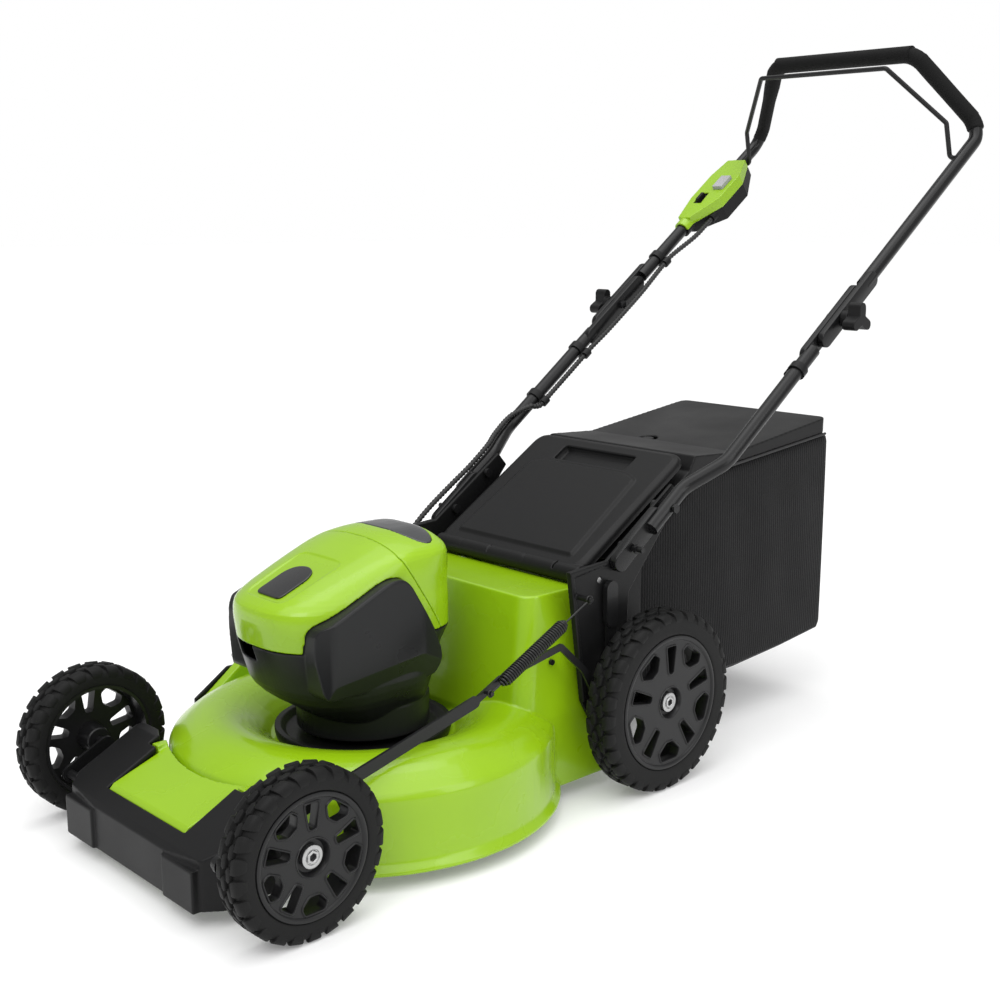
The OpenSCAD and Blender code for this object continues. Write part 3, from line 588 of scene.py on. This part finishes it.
def rim_openings(r):
    """Five long and five wide openings, as anticlockwise outlines with soft corners."""
    out = []
    for i in range(5):
        for turn, shape in (
                (72 * i, [(-4.5, 0.44), (4.5, 0.44), (9.5, 0.84), (-9.5, 0.84)]),
                (72 * i + 36, [(-6.5, 0.60), (6.5, 0.60), (0.215 * r, 0.74), (0.17 * r, 0.86),
                               (-0.17 * r, 0.86), (-0.215 * r, 0.74)])):
            c, s = math.cos(math.radians(turn)), math.sin(math.radians(turn))
            flat = [(u * c + v * r * s, -u * s + v * r * c) for u, v in shape]
            out.append(softened(flat, 3.0, 4))
    return out


def web(loops, depth, place):
    """Flat disc with holes, at one depth."""
    bm = bmesh.new()
    edges = []
    for loop in loops:
        vs = [bm.verts.new(place(p.x, p.y, depth)) for p in loop]
        edges += [bm.edges.new((v, vs[(i + 1) % len(vs)])) for i, v in enumerate(vs)]
    bmesh.ops.triangle_fill(bm, use_beauty=True, edges=edges)
    return bm


def circle(r, n=96):
    return [Vector((r * math.cos(2 * math.pi * k / n), r * math.sin(2 * math.pi * k / n))) for k in range(n)]


def rim_mesh(side, track, y, z, r, w):
    place = wheel_place(side, track, y, z)

    def flat(u, v, depth):
        return at(side * (track / 2 - depth), y + u, z + v)

    face, back = 2.4, 17.0
    flange = [(w - 3, r - 0.6), (w - 3, r - 5), (back, r - 6.5), (face, r - 7.5), (face - 1.2, r - 6.6),
              (face - 2.0, r - 5.2), (face - 2.2, r - 3.0), (face - 1.6, r - 1.2), (face, r - 0.5)]
    hub = [(face, 24), (face - 1.0, 23.4), (face - 0.6, 22.2), (face + 1.0, 21.4), (9.6, 19.0), (9.9, 17),
           (9.9, 6.2), (w - 3, 6.2), (w - 3, 15.5), (w - 4.5, 17), (back, 20)]
    parts = [revolved(flange, place), revolved(hub, place, 72, closed=False)]
    loops = rim_openings(r)
    borders = [offset(loop, 2.6) for loop in loops]
    parts.append(web([circle(r - 7.5), circle(24, 72)] + borders, face, flat))
    parts.append(web([circle(r - 6.5), circle(20, 72)] + [offset(loop, 1.0) for loop in loops], back, flat))
    for loop in loops:
        steps = [(2.6, face), (2.2, face - 0.9), (1.6, face - 1.4), (0.7, face - 1.4), (0.1, face - 0.8),
                 (-0.2, face + 0.6), (0.3, face + 6.0), (1.0, back)]
        parts.append(surface([[flat(p.x, p.y, h) for p in offset(loop, d)] for d, h in steps]))
    bm = merged(parts)
    bmesh.ops.remove_doubles(bm, verts=bm.verts, dist=0.00003)
    bmesh.ops.recalc_face_normals(bm, faces=bm.faces)
    return bm


def nut_mesh(side, track, y, z):
    """Bright washer with a hex recess, sunk in the hub."""
    place = wheel_place(side, track, y, z)
    profile = [(9.3, 14), (4.6, 14), (3.8, 13.6), (3.4, 12.8), (3.4, 9.4), (4.2, 8.8), (4.4, 7.6)]
    washer = revolved(profile, place, 48, closed=False)
    socket = [[place(x, math.pi / 3 * k, r) for k in range(6)] for x, r in
              ((4.4, 8.4), (2.6, 8.2), (2.2, 7.7), (2.2, 5.4), (2.6, 5.0), (8.5, 4.8), (8.5, 0.01))]
    return merged([washer, surface(socket)])


# End, distance over both wheels, Y of the axis, radius, width and tread blocks in a row
WHEELS = (("front", FRONT_TRACK, 0.0, FRONT_R, 45.0, 25),
          ("rear", REAR_TRACK, WHEELBASE, REAR_R, 47.0, 30))
RIM_SHARE = 0.75

for end, track, y, r, w, count in WHEELS:
    nuts = []
    rim_r = r * RIM_SHARE
    for hand, side in (("left", 1), ("right", -1)):
        place = wheel_place(side, track, y, r)
        piece(f"{end}_{hand}_tread", tyre_mesh(place, r, w, rim_r, count), f"{end}_{hand}_tyre", angle=38)
        rim = rim_mesh(side, track, y, r, rim_r, w)
        piece(f"{end}_{hand}_wheel_face", rim, f"{end}_{hand}_rim", angle=32)
        nuts.append(nut_mesh(side, track, y, r))
    piece(f"{end}_nuts", merged(nuts), f"{end}_wheel_nuts", "steel", angle=30)

# ---------------------------------------------------------------- motor housing, cover and lid

# Sections of the housing: half width, front, rear and height
HOUSING_LOW = [(78, 200, 330, 146), (104, 128, 340, 192), (106, 114, 350, 232), (106, 104, 372, 262)]
HOUSING_HIGH = [
    (106, 104, 372, 262.8), (104.5, 98, 374, 300), (101, 103, 374, 318), (98, 168, 374, 345),
    (93, 232, 370, 368), (66, 262, 362, 380), (36, 288, 350, 388), (8, 316, 336, 389.6)]
FRONT_FULLNESS = 0.77
REAR_FULLNESS = 0.5
POD_OUTLINE = [(138, 205), (128, 262), (130, 296), (236, 342), (258, 344), (272, 334), (316, 262), (330, 228),
               (322, 200)]
POD_PLAN = [(50, 120), (94, 126), (112, 146), (112, 292), (104, 332), (50, 340)]


def oval(section, n=120):
    """A section's ring, fuller at the front than at the rear."""
    half, front, rear, z = section
    ring = []
    for k in range(n):
        a = 2 * math.pi * (k + 0.5) / n
        c, s = math.cos(a), math.sin(a)
        e = REAR_FULLNESS if s > 0 else FRONT_FULLNESS
        ring.append(at(half * math.copysign(abs(c) ** e, c),
                       (front + rear) / 2 + (rear - front) / 2 * math.copysign(abs(s) ** e, s), z))
    return ring


def eased(sections, cutoff=0.22, rounds=2):
    """Sections with the creases between them rounded off."""
    pts = [Vector(s) for s in sections]
    for _ in range(rounds):
        out = [pts[0]]
        for a, b in zip(pts, pts[1:]):
            out += [a.lerp(b, cutoff), a.lerp(b, 1 - cutoff)]
        pts = out + [pts[-1]]
    return pts


def inset_sections(sections, t, drop):
    """Sections t further in and drop lower."""
    return [Vector((s[0] - t, s[1] + t, s[2] - t, s[3] - drop)) for s in sections]


def hollow_shell(sections, t):
    """Closed thick shell, open at the bottom."""
    outer = eased(sections)
    inner = inset_sections(outer, t, t)
    inner[0] = Vector((outer[0][0] - t, outer[0][1] + t, outer[0][2] - t, outer[0][3]))
    inner = [s for i, s in enumerate(inner) if i == 0 or s[3] > outer[0][3] + 0.5]
    inner = [s for s in inner if s[0] > 4]
    return surface([oval(s) for s in reversed(inner)] + [oval(s) for s in outer], caps=(True, True))


def pod_blocks(grow):
    """Both pods' outlines seen from the side, drawn out across the machine."""
    steps = [(0, 50), (0, 108), (-0.6, 110.5), (-2.0, 111.6), (-4.0, 112 + grow)]
    side = prism(offset(softened(POD_OUTLINE, 12.0), grow), steps, side_place)
    return merged([side, mirror(side)])


def plan_blocks(grow):
    """Both pods' outlines seen from above, drawn out in height."""
    plan = prism(offset(softened(POD_PLAN, 6.0), grow), [(0, 190), (0, 360)], at)
    return merged([plan, mirror(plan)])


def solid(name, bm):
    o = bpy.data.objects.new(name, from_bmesh(bm, name))
    bpy.context.scene.collection.objects.link(o)
    return o


def slope_place(u, v, h):
    """On the cover's front slope: u across, v up the slope, h out of it."""
    t = math.radians(22.2)
    return at(u, 126 + v * math.cos(t) - h * math.sin(t), 325.2 + v * math.sin(t) + h * math.cos(t))


def pods(grow):
    """The housing's two side pods, grown by a gap."""
    o = solid("pods", pod_blocks(grow))
    cut(o, plan_blocks(grow), "INTERSECT")
    # The lower part of each pod leans inwards under a crease
    wedge = prism(ccw([(98, 190), (113.2, 236), (130, 236), (130, 190)]), [(0, 90), (0, 380)],
                  lambda u, v, h: at(u, h, v + (h - 230) * 0.11))
    cut(o, merged([wedge, mirror(wedge)]))
    return o


def mesh_of(o):
    """The object's mesh; the object itself is removed."""
    bm = bmesh.new()
    bm.from_mesh(o.data)
    bpy.data.objects.remove(o)
    return bm


LID_CUT = [(269, 420), (269, 366), (336, 255), (420, 255), (420, 420)]
COVER_CUT = [(60, 255), (335.4, 255), (268.4, 366), (268.4, 420), (60, 420)]


def whole_x(outline):
    """A side outline drawn out over the housing's whole width."""
    return prism(ccw(outline), [(0, -140), (0, 140)], side_place)


COVER_WALL = 3.4
cover = solid("front_cover", hollow_shell(HOUSING_HIGH, COVER_WALL))
cut(cover, whole_x(COVER_CUT), "INTERSECT")
cut(cover, mesh_of(pods(0.5)))
recess = softened([(-42, -8), (42, -8), (47, 96), (-47, 96)], 16.0, 6)
cut(cover, prism(recess, [(-2.0, -1.6), (0, 0.4), (0, 12)], slope_place))
softened_mesh(cover, 1.25, 4)
show_as(cover, "motor_cover")

window_turns = [k * math.pi / 40 for k in range(80)]
window_shape = [Vector((78 * math.cos(a), 328 + 28 * math.sin(a))) for a in window_turns]
lid = solid("lid_shell", hollow_shell(HOUSING_HIGH, COVER_WALL))
cut(lid, whole_x(LID_CUT), "INTERSECT")
cut(lid, prism(window_shape, [(0, 350), (0, 420)], at))
softened_mesh(lid, 1.25, 4)
show_as(lid, "battery_lid")

lens = solid("lid_lens", hollow_shell(HOUSING_HIGH, 3.0))
window_block = prism(window_shape, [(-0.5, 340), (-0.5, 420)], lambda u, v, h: at(u, v, h - 0.6))
cut(lens, window_block, "INTERSECT")
softened_mesh(lens, 1.0, 3)
show_as(lens, "lid_window", "window")

badge = softened([(-26, 0), (26, 0), (26, 50), (18, 64), (0, 70), (-18, 64), (-26, 50)], 9.0, 6)
piece("badge_plate", prism(badge, [(-1.4, -2.4), (0, -1.8), (0, 0.2), (-0.6, 0.7), (-1.4, 0.8)], slope_place),
      mat="plate", body="chassis", angle=50)

# The collar stands on the motor base: profile of height and radius
COLLAR = [(124.4, 86), (158, 86), (160, 60), (164.4, 60), (164.4, 90), (124.4, 90)]
collar = revolved(COLLAR, lambda x, a, r: at(r * math.cos(a), BLADE_Y + r * math.sin(a), x), 128)
housing = solid("low_shell", surface([oval(s) for s in eased(HOUSING_LOW)], caps=(True, True)))
cut(housing, mesh_of(pods(0)), "UNION")
hollow = inset_sections(eased(HOUSING_LOW), 4, 0)[1:-1]
hollow += [Vector((102, 108, 368, 262)), Vector((102, 108, 368, 272))]
cut(housing, surface([oval(s) for s in hollow], caps=(True, True)))
under_cover = inset_sections(eased(HOUSING_HIGH), COVER_WALL, COVER_WALL)
cut(housing, surface([oval(s) for s in under_cover], caps=(True, True)))
front_slot = [(90, 240), (150, 240), (150, 270), (90, 270)]
cut(housing, prism(ccw(front_slot), [(0, -48), (0, -6)], side_place))
cut(housing, collar, "UNION")
softened_mesh(housing, 1.3, 4)
show_as(housing, "motor_housing")

# ---------------------------------------------------------------- deck, bumper and brackets

moulded("deck", 1.7, 8, settle=False)
# Node, voxel size and smoothing passes
for node_name, voxel, passes in (
        ("motor_base", 1.4, 4), ("front_bumper", 1.5, 5), ("front_panel", 1.2, 3), ("side_door", 1.2, 3),
        ("left_handle_bracket", 1.1, 3), ("right_handle_bracket", 1.1, 3), ("switch_box", 0.8, 4),
        ("switch_box_back", 0.8, 4), ("left_knob", 0.7, 4), ("right_knob", 0.7, 4), ("start_button", 0.5, 3)):
    moulded(node_name, voxel, passes)

# ---------------------------------------------------------------- flap

FLAP_SLOPE = math.radians(31.7)


def flap_place(u, v, h):
    """On the flap: u across, v up its slope, h out of it."""
    return at(u, 545 + v * math.cos(FLAP_SLOPE) - h * math.sin(FLAP_SLOPE),
              305 + v * math.sin(FLAP_SLOPE) + h * math.cos(FLAP_SLOPE))


def box_at(place, u0, u1, v0, v1, h0, h1):
    return prism(ccw([(u0, v0), (u1, v0), (u1, v1), (u0, v1)]), [(0, h0), (0, h1)], place)


BARREL_R = 13


def flap_rod(stations, sides):
    """A round bar along the flap's hinge, through (place across, radius) pairs."""
    turns = [2 * math.pi * k / sides for k in range(sides)]
    return surface([[flap_place(x, r * math.cos(a), r * math.sin(a)) for a in turns] for x, r in stations],
                   caps=(True, True))


flap = solid("flap_shell", prism(softened([(-150, -4), (150, -4), (150, 262), (-150, 262)], 26.0, 7),
                                 [(0, -3), (0, 4), (-2, 8.5), (-10, 12)], flap_place))
barrel_end = BARREL_R * 0.85
barrel = [(-149, barrel_end), (-147, BARREL_R), (147, BARREL_R), (149, barrel_end)]
cut(flap, flap_rod(barrel, 40), "UNION")
panel = prism(softened([(-122, 18), (122, 18), (112, 190), (84, 202), (-84, 202), (-112, 190)], 8.0),
              [(0, 8), (0, 12), (-5, 15.5), (-8, 15.5)], flap_place)
cut(flap, panel, "UNION")
for u in (-96, -34, 40, 102):
    cut(flap, box_at(flap_place, u, u + 3, -8, 6, 6, 20))
grip_recess = softened([(-74, 206), (74, 206), (74, 238), (-74, 238)], 5.0)
cut(flap, prism(grip_recess, [(-3, 1.5), (0, 8), (0, 30)], flap_place))
cut(flap, box_at(flap_place, -145, 145, 22, 192, -6, 4))
cut(flap, flap_rod([(-160, 4.1), (160, 4.1)], 24))
softened_mesh(flap, 1.4, 4)
show_as(flap, "rear_flap")

# ---------------------------------------------------------------- grass bag

plan = softened([(-153, 560), (153, 560), (153, 1125), (-153, 1125)], 26.0, 7)
grip_arc = [(-30 + r * math.cos(a), 885 + r * math.sin(a))
            for r, turns in ((17, range(0, 9)), (11, range(8, -1, -1)))
            for a in (math.pi * k / 8 for k in turns)]
moulded("bag_frame", 1.6, 6, keeps=[prism(plan, [(0, 60), (0, 500)], at)],
        cuts=[prism(ccw(grip_arc), [(0, 436.5), (0, 470)], at)])


def between(x, table):
    """Straight-line value from a table of (x, value)."""
    for (x0, v0), (x1, v1) in zip(table, table[1:]):
        if x <= x1:
            return v0 + (v1 - v0) * (x - x0) / (x1 - x0)
    return table[-1][1]


# The cloth's front edge, length, half width and corner; then (Y, height) along its top and bottom
BAG_FRONT = 668
BAG_LENGTH = 471
BAG_HALF = 151.0
BAG_CORNER = 14.0
BAG_TOP = [(BAG_FRONT, 330), (790, 415), (1150, 449)]
BAG_BOTTOM = [(BAG_FRONT, 101), (720, 98), (895, 92), (1020, 100), (1139, 112)]


def bag_ring(y, tuck=0.0):
    """Cross-section of the bag at y: a rounded box that bulges at the sides and sags below."""
    low, high = between(y, BAG_BOTTOM) + tuck, between(y, BAG_TOP) - 0.5 - tuck * 0.6
    half = BAG_HALF - tuck
    run = min(1.0, max(0.0, (y - BAG_FRONT) / BAG_LENGTH))
    fullness = math.sin(math.pi * run) ** 0.7 if 0 < run < 1 else 0.0
    pts = []
    outline = softened([(-half, low), (half, low), (half, high), (-half, high)], BAG_CORNER, 5)
    dense = []
    for a, b in zip(outline, outline[1:] + outline[:1]):
        steps = max(1, int((b - a).length / 9))
        dense += [a.lerp(b, t / steps) for t in range(steps)]
    for p in dense:
        up = (p.y - low) / (high - low)
        across = p.x / half
        bulge = 5.0 * fullness * math.sin(math.pi * min(1, max(0, up))) ** 0.8
        crease = 0.9 * fullness * math.sin(y / 17.0 + 2.4 * up) * math.sin(math.pi * up)
        x = p.x + math.copysign(bulge + crease, p.x) * (abs(across) > 0.9)
        sag = -5.0 * fullness * (1 - across * across) if up < 0.05 else 0.0
        pts.append(at(x, y, p.y + sag))
    return pts


def resampled(ring, n):
    """The ring's outline as n evenly spread points."""
    lengths = [0.0]
    loop = ring + ring[:1]
    for a, b in zip(loop, loop[1:]):
        lengths.append(lengths[-1] + (b - a).length)
    out, i = [], 0
    for k in range(n):
        d = lengths[-1] * k / n
        while lengths[i + 1] < d:
            i += 1
        t = (d - lengths[i]) / max(1e-9, lengths[i + 1] - lengths[i])
        out.append(loop[i].lerp(loop[i + 1], t))
    return out


BAG_POINTS = 150
rings = [resampled(bag_ring(BAG_FRONT + 10 * k), BAG_POINTS) for k in range(46)]
# The rear edge is turned in, and the rear panel bulges towards its middle
for k in range(1, 7):
    a = math.pi / 2 * k / 6
    rings.append(resampled(bag_ring(1118 + 16 * math.sin(a), 16 * (1 - math.cos(a))), BAG_POINTS))
centre = at(0, 1134, 280)
edge_ring = rings[-1]
for k in range(1, 9):
    s = 1 - k / 8.3
    rings.append([centre + (p - centre) * s + Vector((0, 0.006 * (1 - s * s), 0)) for p in edge_ring])
bag = link("bag_cloth", from_bmesh(surface(rings, caps=(False, True)), "bag_cloth"), None, None)
modifier(bag, "SOLIDIFY", thickness=0.0016, offset=-1.0)
baked(bag)
smooth(bag, 60)
show_as(bag, "bag_fabric")

piping = []
for side in (1, -1):
    rail = [at(side * 152.5, y, between(y, BAG_TOP) - 1) for y in range(672, 1124, 12)]
    piping.append(swept(rail, 0.0022, 10))
    foot = [at(side * 149, y, between(y, BAG_BOTTOM) + 7) for y in range(690, 1130, 20)]
    piping.append(swept(foot, 0.0018, 8))
piece("bag_piping", merged(piping), mat="bag_binding", body="chassis", angle=60)

# ---------------------------------------------------------------- handle


def flat_bar(x0, x1, a, b, r):
    """Flattened end of a tube: a plate with round ends and rounded edges."""
    t = math.atan2(b[1] - a[1], b[0] - a[0])
    n = 14
    outline = []
    for centre, start in ((a, t + math.pi / 2), (b, t - math.pi / 2)):
        turns = [start + math.pi * k / n for k in range(n + 1)]
        outline += [Vector((centre[0] + r * math.cos(w), centre[1] + r * math.sin(w))) for w in turns]
    return prism(outline, round_steps(x0, x1, 1.6), side_place)


def mm(points):
    """Machine points in the CAD frame."""
    return [at(*p) for p in points]


lower_line = [(199, 632, 366.2), (199, 700, 415.5), (HANDLE_X, 760, 448.7), (HANDLE_X, 962, 596.2)]
lower = merged([
    swept(rounded(mm(lower_line), 0.060, 12), TUBE_R / 1000, 28),
    flat_bar(184.3, 196, (578, 326.8), (650, 379.4), 14),
    flat_bar(217.4, 227.6, (FOLD[0] - 70, FOLD[1] - 51.1), (FOLD[0] + 48, FOLD[1] + 35), 13)])
piece("left_lower_tube", lower.copy(), "left_lower_handle", angle=40)
piece("right_lower_tube", mirror(lower), "right_lower_handle", angle=40)

half_line = [(HANDLE_X, FOLD[0] + 64, FOLD[1] + 46.7), (HANDLE_X, 1424, 933.5), (140, 1344, 1058)]
upper_path = rounded(mm(half_line + [(-x, y, z) for x, y, z in reversed(half_line)]), 0.038, 12)
tongue = flat_bar(228.4, 238.6, (FOLD[0] - 40, FOLD[1] - 29.2), (FOLD[0] + 76, FOLD[1] + 55.5), 13)
upper = merged([swept(upper_path, TUBE_R / 1000, 28), tongue, mirror(tongue)])
piece("upper_tube", upper, "upper_handle", angle=40)

grip = upper_path[7:-7]
length = sum((b - a).length for a, b in zip(grip, grip[1:]))


def grip_radius(run):
    """Foam sleeve with rounded ends and a slight ripple."""
    end = min(run, length - run)
    return 0.0118 + 0.0022 * min(1.0, math.sqrt(max(0.0, end) / 0.003)) + 0.00012 * math.sin(run * 900)


piece("grip_sleeve", swept(catmull(grip, 4), grip_radius, 28), "foam_grip", angle=60)

bail_half = [(220, 1362, 888.2), (206, 1362, 888.2), (204, 1348, 944), (126, 1282, 1032)]
bail_path = rounded(mm(bail_half + [(-x, y, z) for x, y, z in reversed(bail_half)]), 0.007, 8)
piece("bail_rod", swept(bail_path, 0.004, 18), "bail_lever", angle=50)

# ---------------------------------------------------------------- cable and spring

CABLE_X = -211.0
cable_points = [
    (-194, 1256, 801.2), (-194, 1237, 787.3), (-194, 1222, 776.4), (-198, 1195, 755),
    (CABLE_X, 1149, 723.1), (CABLE_X, 1120, 701.7), (-208, 1070, 664), (-205, 1024, 633), (-207, 980, 600),
    (CABLE_X, 944.1, 573.2), (CABLE_X, 915, 551.9), (CABLE_X, 844, 500.2), (CABLE_X, 822, 484.1),
    (-210, 808, 482), (-213, 796.5, 483), (-221, 760.6, 469.5), (-213, 719.7, 447), (-201, 689.7, 430),
    (-200, 649.7, 401), (-203, 609.5, 373), (-203, 565, 343), (-202, 530, 314), (-200, 505, 284),
    (-198, 490, 255), (-194, 474, 228), (-188, 452, 206), (-176, 430, 192), (-156, 408, 184),
    (-131, 380, 182), (-108, 352, 182), (-85.2, 324.8, 182)]
cable_path = catmull(mm(cable_points), 20)


def corrugated(run):
    """Radius of the cable's sleeve, which has a rib every 6.4 mm."""
    wave = math.cos(run * math.pi / 0.0032)
    return 0.0041 + 0.0005 * math.copysign(abs(wave) ** 0.5, wave)


def evenly(path, step):
    """The path at equal steps."""
    out, left = [path[0]], step
    for a, b in zip(path, path[1:]):
        d = (b - a).length
        while left <= d:
            out.append(a.lerp(b, left / d))
            left += step
        left -= d
    return out


cable_mesh = from_bmesh(swept(evenly(cable_path, 0.0011), corrugated, 12), "cable_sleeve")
cable = link("cable_sleeve", cable_mesh, None, None)
smooth(cable, 60)
cable.data.materials.append(MAT["cable_sleeve"])
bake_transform(cable)
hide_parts("control_cable")

# The lift spring's studs: the foot on the link bar, the head on the chassis
FOOT, HEAD = Vector((209.5, 318, 202)), Vector((209.5, 498, 291))
along = (HEAD - FOOT).normalized()
normal = Vector((0, -along.z, along.y))
coil = []
TURNS = 34
COIL_R = 7.6
for k in range(TURNS * 20 + 1):
    t = k / (TURNS * 20)
    a = 2 * math.pi * TURNS * t
    r = COIL_R * min(1.0, 0.35 + 10 * min(t, 1 - t))
    p = FOOT + along * (20 + 130 * t) + (normal * math.cos(a) + Vector((1, 0, 0)) * math.sin(a)) * r
    coil.append(at(*p))


def hook(centre, direction, r):
    """An open loop round a stud."""
    pts = []
    for k in range(15):
        a = math.radians(-150 + 300 * k / 14)
        pts.append(at(*(centre - direction * r * math.cos(a) + normal * r * math.sin(a))))
    return pts


ends = [swept(hook(FOOT, along, 4.4), 0.0012, 10), swept(hook(HEAD, -along, 5.4), 0.0012, 10),
        swept([at(*(FOOT + along * 4.4)), at(*(FOOT + along * 21))], 0.0012, 10),
        swept([at(*(HEAD - along * 5.4)), at(*(FOOT + along * 149))], 0.0012, 10)]
spring = piece("coil_spring", merged([swept(coil, 0.0016, 10)] + ends), "lift_spring", angle=60)
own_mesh(spring)

# ---------------------------------------------------------------- what stays as CAD

for node_name, o in NODES.items():
    if not o.hide_render:
        o.data.materials.clear()
        o.data.materials.append(MAT[SLOT[node_name]])

# ---------------------------------------------------------------- studio


FLOOR_HALF = 30.0
bm = bmesh.new()
bmesh.ops.create_grid(bm, x_segments=2, y_segments=2, size=FLOOR_HALF)
floor = link("floor", from_bmesh(bm, "floor"), "floor", None)

scene = bpy.context.scene
world = bpy.data.worlds.new("studio")
scene.world = world
world.use_nodes = True
background = world.node_tree.nodes["Background"]
background.inputs["Color"].default_value = (1.0, 1.0, 1.0, 1.0)
# The backdrop is white to the camera, and lights the machine at half that strength
seen = world.node_tree.nodes.new("ShaderNodeLightPath")
world_range = world.node_tree.nodes.new("ShaderNodeMapRange")
world_range.inputs["To Min"].default_value = 0.5
world_range.inputs["To Max"].default_value = 1.0
world.node_tree.links.new(seen.outputs["Is Camera Ray"], world_range.inputs["Value"])
world.node_tree.links.new(world_range.outputs["Result"], background.inputs["Strength"])


def area_light(name, place, target, size, power):
    data = bpy.data.lights.new(name, "AREA")
    data.shape = "RECTANGLE"
    data.size, data.size_y = size
    data.energy = power
    o = bpy.data.objects.new(name, data)
    scene.collection.objects.link(o)
    o.location = place
    o.rotation_euler = (Vector(target) - Vector(place)).to_track_quat("-Z", "Y").to_euler()


area_light("key", (1.2, -2.6, 2.8), (0, -0.2, 0.2), (1.6, 1.6), 22)
area_light("side", (3.0, 0.6, 1.8), (0, 0, 0.3), (1.2, 2.2), 20)
area_light("top", (-0.6, 0.4, 3.2), (0, 0, 0.2), (2.4, 2.4), 18)
sun_data = bpy.data.lights.new("sky", "SUN")
sun_data.energy = 2.0
sun_data.angle = math.radians(80)
sun = bpy.data.objects.new("sky", sun_data)
scene.collection.objects.link(sun)
sun.rotation_euler = (math.radians(12), math.radians(14), 0)

CAMERA_PLACE = (1477.5, -852.8, 801.0)
CAMERA_AIM = (-0.7157, 0.6698, -0.198)
cam_data = bpy.data.cameras.new("camera")
cam_data.sensor_width = 36.0
cam_data.lens = 51.42
camera = bpy.data.objects.new("camera", cam_data)
scene.collection.objects.link(camera)
camera.location = at(*CAMERA_PLACE)
camera.rotation_euler = Vector(CAMERA_AIM).to_track_quat("-Z", "Y").to_euler()
scene.camera = camera
scene.view_settings.view_transform = "Standard"
